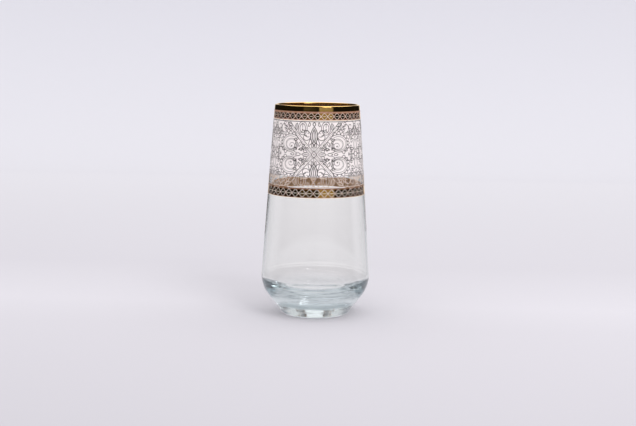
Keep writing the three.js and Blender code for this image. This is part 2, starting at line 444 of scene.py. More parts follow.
@dataclass(frozen=True)
class SweepPaper:
    """Matte studio paper, rolled from the table up the wall: pale lilac grey, with painted light and
    shade along its length.
    """

    # Painted light and shade along Y: darker nearest the camera, a lighter strip just behind the glass
    # that lifts its shade, lightest at the bend up the back.
    tones: tuple[tuple[float, str], ...] = (
        (-0.3, "#C9C6CD"),
        (-0.05, "#D4D1D8"),
        (0.03, "#DAD7DE"),
        (0.2, "#D4D1D8"),
        (0.9, "#DFDDE3"),
        (1.25, "#D8D7DE"),
    )

    def material(self) -> bpy.types.Material:
        """Makes the paper, toned along its length as painted light and shade so that it reads as one
        even field: darker nearest the camera, lighter just behind the glass to lift its shade, lightest
        at the bend.

        Returns:
            The material.
        """
        material, tree = empty_material("studio_paper_matte")
        near, far = self.tones[0][0], self.tones[-1][0]
        place = add_node(tree, "ShaderNodeTexCoord")
        split = add_node(tree, "ShaderNodeSeparateXYZ", {"Vector": place.outputs["Object"]})
        along = add_node(
            tree,
            "ShaderNodeMapRange",
            {"Value": split.outputs["Y"], "From Min": near, "From Max": far},
        )
        tone = set_ramp(
            add_node(tree, "ShaderNodeValToRGB", {"Fac": along.outputs["Result"]}),
            [((spot - near) / (far - near), linear(colour)) for spot, colour in self.tones],
        )
        shader = add_node(
            tree,
            "ShaderNodeBsdfPrincipled",
            {"Base Color": tone.outputs["Color"], "Roughness": 1.0, "Specular IOR Level": 0.0},
        )
        add_node(tree, "ShaderNodeOutputMaterial", {"Surface": shader.outputs["BSDF"]})
        return material


@dataclass
class MeshStock:
    """The vertices and faces of one piece as they are made, in millimetres."""

    points: list[np.ndarray] = field(default_factory=list)
    faces: list[tuple[int, ...]] = field(default_factory=list)
    finishes: list[int] = field(default_factory=list)
    count: int = 0

    def add(
        self,
        points: np.ndarray,
        faces: Sequence[Sequence[int]],
        under: Sequence[Sequence[int]] = (),
    ) -> None:
        """Adds points and the faces between them.

        Args:
            points: one row of x, y and z for each point.
            faces: indexes into these points, anticlockwise seen from outside.
            under: the faces that lie against the wall, which take the second finish.
        """
        self.points.append(points)
        for finish, group in enumerate((faces, under)):
            self.faces.extend(tuple(int(i) + self.count for i in face) for face in group)
            self.finishes.extend([finish] * len(group))
        self.count += len(points)

    def piece(
        self,
        name: str,
        materials: Sequence[bpy.types.Material],
        crease_degrees: float = 40.0,
    ) -> bpy.types.Object:
        """Makes the object, shaded smooth between creases.

        Args:
            name: the piece's name.
            materials: one material for each finish number.
            crease_degrees: an edge turns sharp above this angle.

        Returns:
            The new object, linked to the scene.
        """
        mesh = bpy.data.meshes.new(name)
        mesh.from_pydata((np.concatenate(self.points) * MM).tolist(), [], self.faces)
        for material in materials:
            mesh.materials.append(material)
        mesh.polygons.foreach_set("material_index", self.finishes)
        mesh.polygons.foreach_set("use_smooth", [True] * len(self.faces))
        mesh.set_sharp_from_angle(angle=math.radians(crease_degrees))
        mesh.update()
        piece = bpy.data.objects.new(name, mesh)
        bpy.context.scene.collection.objects.link(piece)
        return piece


def revolve(
    stock: MeshStock,
    section: Sequence[Point],
    segments: int,
    closed: bool,
    finishes: Optional[Sequence[int]] = None,
) -> None:
    """Turns a section about the Z axis.

    Args:
        stock: gets the points and faces.
        section: radius and height of each point, the material on the left of the way along it.
        segments: faces round the axis.
        closed: whether the last point joins the first; an open section starts and ends on the axis.
        finishes: the material slot of each stretch of the section, all 0 where left out.
    """
    turns = np.arange(segments) * TAU / segments
    count = len(section)
    rings = np.array(
        [[(r * math.sin(t), -r * math.cos(t), z) for t in turns] for r, z in section]
    ).reshape(-1, 3)
    stretches = count if closed else count - 1
    by_finish: dict[int, list[tuple[int, ...]]] = {}
    for i in range(stretches):
        low, high = i * segments, (i + 1) % count * segments
        faces = by_finish.setdefault(finishes[i] if finishes else 0, [])
        for j in range(segments):
            k = (j + 1) % segments
            face = (low + j, low + k, high + k, high + j)
            if not closed and i == 0:
                face = (low, high + k, high + j)
            elif not closed and i == stretches - 1:
                face = (low + j, low + k, high)
            faces.append(face)
    keep = np.ones(len(rings), bool)
    if not closed:
        keep[1:segments] = False
        keep[(count - 1) * segments + 1 :] = False
    place = np.cumsum(keep) - 1
    start = stock.count
    stock.add(rings[keep], [])
    for finish, faces in by_finish.items():
        stock.faces.extend(tuple(int(place[i]) + start for i in face) for face in faces)
        stock.finishes.extend([finish] * len(faces))


def arc(centre: Point, radius: float, start: float, end: float, step: float = 0.05) -> list[Point]:
    """Points along an arc.

    Args:
        centre: its centre.
        radius: its radius.
        start: the angle at which it starts, in radians.
        end: the angle at which it ends.
        step: the largest angle between points.

    Returns:
        Points from start to end, both included.
    """
    count = max(2, math.ceil(abs(end - start) / step) + 1)
    return [
        (centre[0] + radius * math.cos(a), centre[1] + radius * math.sin(a))
        for a in np.linspace(start, end, count)
    ]


@dataclass(frozen=True)
class GlassForm:
    """The section of the glass: leaning wall, round belly, tapered foot, domed underside and bowl."""

    height: float = 152.15
    rim_diameter: float = 61.0
    belly_diameter: float = 78.7
    belly_height: float = 29.0
    shoulder_radius: float = 25.0
    base_taper: float = math.radians(37)
    foot_corner_radius: float = 4.5
    bearing_width: float = 3.6
    punt_depth: float = 3.2
    wall: float = 1.7
    floor_height: float = 19.5
    floor_radius: float = 260.0
    bowl_corner_radius: float = 6.5
    # The largest angles between points along an arc, in radians.
    arc_step: float = 0.03
    lip_arc_step: float = 0.15
    corner_arc_step: float = 0.04

    @property
    def lip_radius(self) -> float:
        """Radius of the round lip."""
        return self.wall / 2

    @property
    def lip_centre(self) -> Point:
        """Centre of the round lip."""
        return (self.rim_diameter / 2 - self.lip_radius, self.height - self.lip_radius)

    @property
    def belly_centre(self) -> Point:
        """Centre of the shoulder's arc."""
        return (self.belly_diameter / 2 - self.shoulder_radius, self.belly_height)

    @property
    def wall_lean(self) -> float:
        """Works out the lean of the wall, which touches the lip and the shoulder.

        Returns:
            The angle of its normal above level, in radians.
        """
        across = self.lip_centre[0] - self.belly_centre[0]
        up = self.lip_centre[1] - self.belly_centre[1]
        spread = math.acos((self.shoulder_radius - self.lip_radius) / math.hypot(across, up))
        return math.atan2(up, across) - spread

    @property
    def wall_offset(self) -> float:
        """Works out how far the wall's line is from the middle of the foot.

        Returns:
            The distance along the wall's normal.
        """
        lean = self.wall_lean
        centre = self.belly_centre
        along = math.cos(lean) * centre[0] + math.sin(lean) * centre[1]
        return along + self.shoulder_radius

    def outside_radius(self, height: Union[float, np.ndarray]) -> Union[float, np.ndarray]:
        """Radius of the straight wall.

        Args:
            height: above the table.

        Returns:
            The outside radius there.
        """
        lean = self.wall_lean
        return (self.wall_offset - height * math.sin(lean)) / math.cos(lean)

    def inside_radius(self, height: float) -> float:
        """Inner radius of the straight wall at a height."""
        return float(self.outside_radius(height)) - self.wall / math.cos(self.wall_lean)

    def section(self) -> list[Point]:
        """Draws half of the glass cut through its axis.

        Returns:
            Radius and height of each point, from the underside's middle, up the outside, over the lip
            and down the inside to the middle of the floor.
        """
        lean = self.wall_lean
        taper = self.base_taper
        foot = self.foot_corner_radius
        centre = self.belly_centre
        taper_offset = (
            math.cos(taper) * centre[0] - math.sin(taper) * centre[1] + self.shoulder_radius
        )
        foot_x = (taper_offset - foot * (1 - math.sin(taper))) / math.cos(taper)
        # The hollow under the foot is a shallow dome inside the ring that the glass stands on.
        punt_rim = foot_x - self.bearing_width
        punt_radius = (punt_rim**2 + self.punt_depth**2) / (2 * self.punt_depth)
        punt_centre = (0.0, self.punt_depth - punt_radius)
        punt_edge = math.acos(punt_rim / punt_radius)
        # The bowl's corner touches the inside of the wall and the dished floor.
        normal = np.array([math.cos(lean), math.sin(lean)])
        upward = np.array([-normal[1], normal[0]])
        floor_centre = np.array([0.0, self.floor_height + self.floor_radius])
        inner = normal * (self.wall_offset - self.wall - self.bowl_corner_radius)
        from_floor = inner - floor_centre
        along = float(from_floor @ upward)
        reach = self.floor_radius - self.bowl_corner_radius
        drop = along + math.sqrt(along**2 - float(from_floor @ from_floor) + reach**2)
        corner = inner - upward * drop
        floor_edge = math.atan2(corner[1] - floor_centre[1], corner[0] - floor_centre[0])
        return [
            *arc(punt_centre, punt_radius, math.pi / 2, punt_edge, self.arc_step),
            *arc((foot_x, foot), foot, -math.pi / 2, -taper),
            *arc(centre, self.shoulder_radius, -taper, lean, self.arc_step),
            *arc(self.lip_centre, self.lip_radius, lean, lean + math.pi, self.lip_arc_step),
            *arc(tuple(corner), self.bowl_corner_radius, lean, floor_edge, self.corner_arc_step),
            *arc(tuple(floor_centre), self.floor_radius, floor_edge, -math.pi / 2, self.arc_step)[1:],
        ]


@dataclass(frozen=True)
class WallSkin:
    """The outside of the straight wall, unrolled about the level line through a height."""

    form: GlassForm
    level: float

    @property
    def radius(self) -> float:
        """Outside radius at the level line."""
        return float(self.form.outside_radius(self.level))

    def place(
        self, across: np.ndarray, up: np.ndarray, lift: Union[float, np.ndarray]
    ) -> np.ndarray:
        """Rolls points back onto the wall.

        Args:
            across: distances along the level line.
            up: distances above it.
            lift: distances off the wall.

        Returns:
            A row of x, y and z for each point.
        """
        turn = across / self.radius
        height = self.level + up
        reach = self.form.outside_radius(height) + lift
        return np.stack([reach * np.sin(turn), -reach * np.cos(turn), height], axis=-1)


@dataclass(frozen=True)
class Stroke:
    """One drawn line of an ornament: points across and up, its width, whether it runs into itself, how
    it is mirrored, and the length over which its ends narrow."""

    path: np.ndarray
    width: float
    closed: bool = False
    symmetry: Symmetry = Symmetry.QUARTERS
    taper: float = 0.0


@dataclass(frozen=True)
class Thread:
    """A low ridge of enamel or gold along a stroke, triangular in section."""

    skin: WallSkin
    base: float
    rise: float
    step: float = 0.35
    least_points: int = 3
    tip_share: float = 0.3

    def trace(self, stroke: Stroke) -> tuple[np.ndarray, np.ndarray]:
        """Spaces points evenly along a stroke.

        Args:
            stroke: the line to follow.

        Returns:
            A row across and up for each point, and the share of the full width there.
        """
        gaps = np.linalg.norm(np.diff(stroke.path, axis=0), axis=1)
        along = np.concatenate([[0.0], np.cumsum(gaps)])
        count = max(self.least_points, math.ceil(along[-1] / self.step) + 1)
        ways = np.linspace(0.0, along[-1], count)
        line = np.stack([np.interp(ways, along, stroke.path[:, i]) for i in (0, 1)], axis=1)
        share = np.ones(count)
        if stroke.taper > 0:
            ends = np.minimum(ways, along[-1] - ways)
            share = np.clip(ends / stroke.taper, self.tip_share, 1.0)
        if stroke.closed:
            return line[:-1], share[:-1]
        return line, share

    def lay(self, stock: MeshStock, stroke: Stroke) -> None:
        """Lays one stroke as a closed ridge.

        Args:
            stock: gets the ridge.
            stroke: the line that it follows.
        """
        line, share = self.trace(stroke)
        if stroke.closed:
            heading = np.roll(line, -1, axis=0) - np.roll(line, 1, axis=0)
        else:
            heading = np.gradient(line, axis=0)
        heading = heading / np.linalg.norm(heading, axis=1, keepdims=True)
        left = np.stack([-heading[:, 1], heading[:, 0]], axis=1)
        side = left * (stroke.width / 2 * share)[:, None]
        crest = self.base + self.rise * share
        rows = [
            self.skin.place(*(line + side).T, self.base),
            self.skin.place(*(line - side).T, self.base),
            self.skin.place(*line.T, crest),
        ]
        points = np.stack(rows, axis=1).reshape(-1, 3)
        size = len(line)
        faces: list[tuple[int, ...]] = []
        under: list[tuple[int, ...]] = []
        for i in range(size if stroke.closed else size - 1):
            a, b = 3 * i, 3 * ((i + 1) % size)
            faces += [(a + 1, b + 1, b + 2, a + 2), (a + 2, b + 2, b, a)]
            under.append((a, b, b + 1, a + 1))
        if not stroke.closed:
            last = 3 * (size - 1)
            faces += [(0, 1, 2), (last + 1, last, last + 2)]
        stock.add(points, faces, under=under)


@dataclass(frozen=True)
class GoldFilm:
    """A thin closed skin of gold on the wall, with an underside that shows through the glass."""

    lift: float = 0.02
    thickness: float = 0.03

    @property
    def top(self) -> float:
        """Height of the film's face off the wall."""
        return self.lift + self.thickness

    def wrap(self, outer: Sequence[Point], inner: Sequence[Point]) -> tuple[list[Point], list[int]]:
        """Closes a film's section from its two faces.

        Args:
            outer: points along the face, upwards.
            inner: the same number of points along the underside, upwards.

        Returns:
            The section and the finish of each stretch, 1 on the underside.
        """
        section = [*outer, *reversed(inner)]
        finishes = [0] * len(outer) + [1] * (len(inner) - 1) + [0]
        return section, finishes


@dataclass
class Finishes:
    """The finishes of the glass, each made once."""

    glass: bpy.types.Material
    polished: bpy.types.Material
    underside: bpy.types.Material
    polished_back: bpy.types.Material
    satin: bpy.types.Material
    rose: bpy.types.Material
    ridge: bpy.types.Material
    dash: bpy.types.Material
    lines: bpy.types.Material
    print_back: bpy.types.Material
    veil: bpy.types.Material

    @classmethod
    def make(cls) -> "Finishes":
        """Makes every finish.

        Returns:
            The finishes, for the pieces to share.
        """
        return cls(
            # Clear and colourless, but for the long way through the foot.
            glass=ClearGlass().material(),
            # Polished fired gold: a mirror, so it is nearly black where the room is dark.
            polished=FiredGold(
                name="fired_gold_polished",
                colour="#F8CC7C",
                worn_colour="#EFC070",
                metallic=1.0,
                roughness=0.05,
                roughness_spread=0.03,
            ).material(),
            # The bonded side of the gold, seen through the wall: red-brown and dull.
            underside=FiredGold(
                name="fired_gold_underside",
                colour="#E8A85C",
                worn_colour="#C08240",
                metallic=0.7,
                roughness=0.38,
                roughness_spread=0.1,
            ).material(),
            # Under the polished band the bond is smoother and red-brown. Its colour is also darkened
            # towards black as painted shade, so that the inside of the far rim, seen through the wall,
            # stays dark.
            polished_back=FiredGold(
                name="fired_gold_polished_underside_painted_shade",
                colour="#9A5426",
                worn_colour="#7C3D17",
                metallic=1.0,
                roughness=0.1,
                roughness_spread=0.05,
            ).material(),
            # Etched lattice ground: gold over a frosted print, a pinkish satin.
            satin=FiredGold(
                name="fired_gold_satin",
                colour="#D09A78",
                worn_colour="#AA7554",
                metallic=0.8,
                roughness=0.24,
                roughness_spread=0.08,
            ).material(),
            # The upper border's ground is a matte rose gold, so its black figures stand out.
            rose=FiredGold(
                name="fired_gold_rose_matte",
                colour="#B88A70",
                worn_colour="#9A6A52",
                metallic=0.2,
                roughness=0.4,
                roughness_spread=0.1,
            ).material(),
            # The lattice's etched lines are matte, so they stay pale where the polished gold goes dark.
            ridge=FiredGold(
                name="fired_gold_etched_line",
                colour="#FBEEE6",
                worn_colour="#EAD8CE",
                metallic=0.1,
                roughness=0.4,
                roughness_spread=0.1,
            ).material(),
            # Its dashes are thick enough to keep the white of the print under the gold. On the thin
            # gold line along each border's lower edge, the same near-white is a painted highlight for
            # the bright glass just below the band.
            dash=FiredGold(
                name="fired_gold_over_white_enamel_and_edge_highlight",
                colour="#FFF4E4",
                worn_colour="#F6E4CC",
                metallic=0.1,
                roughness=0.35,
                roughness_spread=0.1,
            ).material(),
            # The drawn lines: a dark brown-grey print, which turns paler low on the frieze.
            lines=FrostedEnamel(
                name="frosted_enamel_line",
                colour="#372C2B",
                grain_colour="#2A2122",
                roughness=0.5,
                low_cover=0.0,
                low_colour="#CBB4A4",
            ).material(),
            # The print's white first coat, which is what shows through the glass.
            print_back=FrostedEnamel(
                name="frosted_enamel_white_coat",
                colour="#FBF7F6",
                grain_colour="#F0EAE9",
                roughness=0.6,
            ).material(),
            # The milky ground: it softens what is behind it, and is all but clear where it is thin.
            veil=FrostedEnamel(
                name="frosted_enamel_ground",
                colour="#FFF7F6",
                grain_colour="#F6EDEC",
                roughness=0.7,
                cover=0.8,
                low_cover=0.05,
            ).material(),
        )


def seat(piece: bpy.types.Object, slot: Slot, node: Optional[str] = None) -> None:
    """Hands a finished piece to the frame.

    Args:
        piece: the piece.
        slot: not used.
        node: the solid that it stands for, if any.
    """
    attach(piece, BODY)
    if node:
        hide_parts(node)
    LOG.info("%s: %d faces", piece.name, len(piece.data.polygons))


@dataclass
class GlassBody:
    """The clear glass itself."""

    form: GlassForm
    segments: int = 288

    def build(self, finishes: Finishes) -> None:
        """Turns the glass from its section and gives it its finish.

        Args:
            finishes: the finishes to take from.
        """
        stock = MeshStock()
        revolve(stock, self.form.section(), self.segments, closed=False)
        piece = stock.piece("clear_glass_body", [finishes.glass])
        seat(piece, Slot.CLEAR_GLASS, "glass_body")


@dataclass
class RimGoldBand:
    """The polished band, wrapped over the lip and a little way down inside."""

    form: GlassForm
    film: GoldFilm
    low: float = 148.4
    lip_return: float = 0.4
    segments: int = 288

    def build(self, finishes: Finishes) -> None:
        """Turns the band's thin section round the lip and gives it its finish.

        Args:
            finishes: the finishes to take from.
        """
        form = self.form
        lean = form.wall_lean
        centre = form.lip_centre
        end_height = centre[1] - self.lip_return
        rows = []
        for lift in (self.film.top, self.film.lift):
            foot = (float(form.outside_radius(self.low)) + lift, self.low)
            lip = arc(centre, form.lip_radius + lift, lean, lean + math.pi, form.lip_arc_step)
            end = (form.inside_radius(end_height) - lift, end_height)
            rows.append([foot, *lip, end])
        section, sides = self.film.wrap(*rows)
        stock = MeshStock()
        revolve(stock, section, self.segments, closed=True, finishes=sides)
        # The band's underside takes the gold darkened towards black as painted shade.
        piece = stock.piece("rim_gold_film", [finishes.polished, finishes.polished_back])
        seat(piece, Slot.BRIGHT_GOLD, "rim_gold_band")


@dataclass
class LatticeBorder:
    """A satin gold band with a raised diamond lattice, a short bar across each diamond and polished
    figures."""

    form: GlassForm
    film: GoldFilm
    node: str
    top: float
    width: float
    units: int = 42
    top_strip: float = 0.8
    bottom_strip: float = 0.6
    tone: BorderTone = BorderTone.BROWN
    line_width: float = 0.29
    line_rise: float = 0.06
    line_step: float = 0.4
    dash_width: float = 0.4
    dash_share: float = 0.62
    sink: float = 0.008
    figure_rise: float = 0.02
    figure_margin: float = 0.13
    corner_margin: float = 0.28
    figure_steps: int = 5
    figure_crease: float = 60.0
    # Height of the gold line along the lower edge, which is near-white as a painted highlight.
    gold_edge_and_highlight: float = 0.34
    segments: int = 336

    @property
    def low(self) -> float:
        """Height of the band's lower edge."""
        return self.top - self.width

    @property
    def skin(self) -> WallSkin:
        """The wall unrolled about the middle of the lattice."""
        low = self.low + self.bottom_strip
        return WallSkin(self.form, (low + self.top - self.top_strip) / 2)

    @property
    def unit(self) -> float:
        """Length of one diamond along the band."""
        return TAU * self.skin.radius / self.units

    @property
    def half_height(self) -> float:
        """Half the height of a diamond."""
        return (self.width - self.top_strip - self.bottom_strip) / 2

    @property
    def base(self) -> float:
        """Distance off the wall of what is sunk into the film."""
        return self.film.top - self.sink

    @property
    def figure_face(self) -> float:
        """Distance off the wall of the figures' faces."""
        return self.film.top + self.figure_rise

    @property
    def thread(self) -> Thread:
        """The ridge that lines and dashes are laid with."""
        return Thread(self.skin, self.base, self.line_rise, self.line_step)

    def build(self, finishes: Finishes) -> None:
        """Makes the ground, its gold edge line painted near-white as a highlight, the lines, the dashes
        and the polished figures.

        Args:
            finishes: the finishes to take from.
        """
        self.lay_ground(finishes)
        self.lay_gold_edge_and_highlight(finishes)
        self.lay_lines(finishes)
        self.lay_dashes(finishes)
        self.lay_figures(finishes)

    def sleeve(self, low: float, high: float, lift: float, top: float) -> list[list[Point]]:
        """Faces of a sleeve on the wall.

        Args:
            low: its lower edge's height.
            high: its upper edge's height.
            lift: its underside's distance off the wall.
            top: its face's distance off the wall.

        Returns:
            The points of its face and of its underside, upwards.
        """
        return [
            [(float(self.form.outside_radius(z)) + off, z) for z in (low, high)]
            for off in (top, lift)
        ]

    def lay_ground(self, finishes: Finishes) -> None:
        """Makes the film of gold that the lattice stands on.

        Args:
            finishes: the finishes to take from.
        """
        stock = MeshStock()
        faces = self.sleeve(self.low, self.top, self.film.lift, self.film.top)
        section, sides = self.film.wrap(*faces)
        revolve(stock, section, self.segments, closed=True, finishes=sides)
        face = finishes.rose if self.tone is BorderTone.ROSE else finishes.satin
        ground = stock.piece(f"{self.node}_ground", [face, finishes.underside])
        seat(ground, Slot.LATTICE_GOLD, self.node)

    def lay_gold_edge_and_highlight(self, finishes: Finishes) -> None:
        """Makes the thin gold line along the lower edge, near-white as a painted highlight of the
        bright glass just below the band.

        Args:
            finishes: the finishes to take from.
        """
        stock = MeshStock()
        faces = self.sleeve(self.low, self.low + self.gold_edge_and_highlight, self.base, self.figure_face)
        section, _ = self.film.wrap(*faces)
        revolve(stock, section, self.segments, closed=True)
        # A gold line in the near-white of the dashes, as a painted highlight.
        edge = stock.piece(f"{self.node}_gold_edge_and_highlight", [finishes.dash])
        seat(edge, Slot.LATTICE_GOLD)

    def lay_lines(self, finishes: Finishes) -> None:
        """Makes the etched lines of the diamonds, as one zigzag above the middle and one below.

        Args:
            finishes: the finishes to take from.
        """
        stock = MeshStock()
        corners = np.arange(2 * self.units + 1)
        across = corners * self.unit / 2
        for way in (1, -1):
            up = np.where(corners % 2, way * self.half_height, 0.0)
            zigzag = np.stack([across, up], axis=1)
            self.thread.lay(stock, Stroke(zigzag, self.line_width, closed=True))
        lines = stock.piece(f"{self.node}_lines", [finishes.ridge, finishes.underside])
        seat(lines, Slot.LATTICE_GOLD)

    def lay_dashes(self, finishes: Finishes) -> None:
        """Makes the short bright bar across each diamond.

        Args:
            finishes: the finishes to take from.
        """
        stock = MeshStock()
        reach = self.unit * self.dash_share / 2
        for k in range(self.units):
            middle = (k + 0.5) * self.unit
            path = np.array([(middle - reach, 0.0), (middle + reach, 0.0)])
            self.thread.lay(stock, Stroke(path, self.dash_width, taper=self.dash_width))
        dashes = stock.piece(f"{self.node}_dashes", [finishes.dash, finishes.underside])
        seat(dashes, Slot.LATTICE_GOLD)

    def lay_figures(self, finishes: Finishes) -> None:
        """Makes the polished triangles: two in each diamond and two between diamonds.

        Args:
            finishes: the finishes to take from.
        """
        stock = MeshStock()
        half, reach = self.half_height, self.unit / 2
        for k in range(self.units):
            crossing, middle = k * self.unit, (k + 0.5) * self.unit
            for way in (half, -half):
                in_diamond = [(middle - reach, 0.0), (middle + reach, 0.0), (middle, way)]
                between = [(crossing - reach, way), (crossing + reach, way), (crossing, 0.0)]
                self.lay_triangle(stock, self.inset(in_diamond, self.figure_margin))
                self.lay_triangle(stock, self.inset(between, self.corner_margin))
        figures = stock.piece(
            f"{self.node}_figures", [finishes.polished], crease_degrees=self.figure_crease
        )
        seat(figures, Slot.BRIGHT_GOLD)

    def inset(self, corners: Sequence[Point], margin: float) -> list[Point]:
        """Moves a triangle's sides in.

        Args:
            corners: its corners across and up.
            margin: how far each side moves.

        Returns:
            The smaller triangle's corners.
        """
        points = np.array(corners)
        sides = np.linalg.norm(np.roll(points, -1, axis=0) - np.roll(points, 1, axis=0), axis=1)
        middle = sides @ points / sides.sum()
        (ax, ay), (bx, by) = points[1] - points[0], points[2] - points[0]
        share = margin * sides.sum() / abs(ax * by - ay * bx)
        return [tuple(point) for point in points + (middle - points) * share]

    def lay_triangle(self, stock: MeshStock, corners: Sequence[Point]) -> None:
        """Lays one thin triangle that follows the wall's curve.

        Args:
            stock: gets the triangle.
            corners: its corners across and up.
        """
        a, b, c = (np.array(corner) for corner in corners)
        (abx, aby), (acx, acy) = b - a, c - a
        if abx * acy < aby * acx:
            b, c = c, b
        n = self.figure_steps
        spots = [(i, j) for i in range(n + 1) for j in range(n + 1 - i)]
        number = {spot: k for k, spot in enumerate(spots)}
        flat = np.array([a + (b - a) * i / n + (c - a) * j / n for i, j in spots])
        points = np.concatenate(
            [self.skin.place(*flat.T, lift) for lift in (self.figure_face, self.base)]
        )
        faces: list[tuple[int, ...]] = []
        for i, j in spots:
            if i + j < n:
                faces.append((number[i, j], number[i + 1, j], number[i, j + 1]))
            if i + j < n - 1:
                faces.append((number[i + 1, j], number[i + 1, j + 1], number[i, j + 1]))
        under = len(spots)
        faces += [tuple(under + k for k in reversed(f)) for f in faces]
        rim = [number[i, 0] for i in range(n)]
        rim += [number[n - j, j] for j in range(n)]
        rim += [number[0, n - j] for j in range(n)]
        for p, q in zip(rim, [*rim[1:], rim[0]]):
            faces.append((p, p + under, q + under, q))
        stock.add(points, faces)


@dataclass(frozen=True)
class Leaf:
    """A pointed leaf of two arcs, with a rib where it is wide enough."""

    root: Point
    tip: Point
    belly: float
    bend: float = 0.0
    rib: bool = False
    points: int = 15
    fullness: float = 0.8
    rib_start: int = 2
    rib_end: int = -3
    rib_taper: float = 1.0

    def strokes(self, width: float) -> Iterator[Stroke]:
        """Draws the leaf.

        Args:
            width: the width of its lines.

        Returns:
            Its outline, and its rib if it has one.
        """
        root, tip = np.array(self.root), np.array(self.tip)
        along = tip - root
        side = np.array([-along[1], along[0]]) / np.linalg.norm(along)
        t = np.linspace(0.0, 1.0, self.points)
        swell = side * (self.belly * np.sin(math.pi * t**self.fullness))[:, None]
        spine = root + along * t[:, None] + side * (self.bend * np.sin(math.pi * t))[:, None]
        back = (spine - swell)[-2::-1]
        yield Stroke(np.concatenate([spine + swell, back]), width)
        if self.rib:
            yield Stroke(spine[self.rib_start : self.rib_end], width, taper=self.rib_taper)


@dataclass(frozen=True)
class Palmette:
    """A fan of leaves from one root, the middle one longest."""

    root: Point
    heading: float
    reach: float
    leaves: int = 5
    spread: float = 130.0
    fall: float = 0.7
    gap: float = 0.8
    belly: float = 0.75
    bend: float = 0.8

    def fan(self) -> Iterator[Leaf]:
        """Spreads the leaves about the heading.

        Returns:
            Each leaf, from one side of the fan to the other.
        """
        root = np.array(self.root)
        for turn in np.linspace(-0.5, 0.5, self.leaves):
            heading = math.radians(self.heading + turn * self.spread)
            way = np.array([math.cos(heading), math.sin(heading)])
            reach = self.reach * (1 - self.fall * abs(turn))
            start = root + way * self.gap
            tip = root + way * reach
            yield Leaf(tuple(start), tuple(tip), self.belly, turn * self.bend)


@dataclass(frozen=True)
class Spindle:
    """A leaf pointed at both ends, standing on an upright axis."""

    low: float
    high: float
    belly: float
    points: int = 21
    fullness: float = 0.8

    def stroke(self, axis: float, width: float) -> Stroke:
        """Draws the leaf.

        Args:
            axis: where its axis stands, across.
            width: the width of its line.

        Returns:
            Its outline, which is mirrored below the middle line.
        """
        t = np.linspace(0.0, 1.0, self.points)
        swell = self.belly * np.sin(math.pi * t) ** self.fullness
        up = self.low + (self.high - self.low) * t
        left = np.stack([axis - swell, up], axis=1)
        right = np.stack([axis + swell, up], axis=1)
        outline = np.concatenate([right, left[-2:0:-1], right[:1]])
        return Stroke(outline, width, True, Symmetry.UPRIGHT)


@dataclass(frozen=True)
class Curl:
    """A tendril that leaves a point and rolls up round an eye."""

    root: Point
    eye: Point
    turns: float
    clockwise: bool
    end_radius: float = 0.5
    points_per_turn: int = 40
    tightening: float = 1.25
    taper: float = 1.2

    def stroke(self, width: float) -> Stroke:
        """Draws the tendril.

        Args:
            width: the width of its line.

        Returns:
            Its line, from the root to the eye.
        """
        eye, root = np.array(self.eye), np.array(self.root)
        away = root - eye
        reach = float(np.linalg.norm(away))
        start = math.atan2(away[1], away[0])
        t = np.linspace(0.0, 1.0, round(self.points_per_turn * self.turns))
        angle = start + (-1 if self.clockwise else 1) * TAU * self.turns * t
        radius = reach * (1 - t) ** self.tightening + self.end_radius * t
        path = eye + radius[:, None] * np.stack([np.cos(angle), np.sin(angle)], axis=1)
        return Stroke(path, width, taper=self.taper)


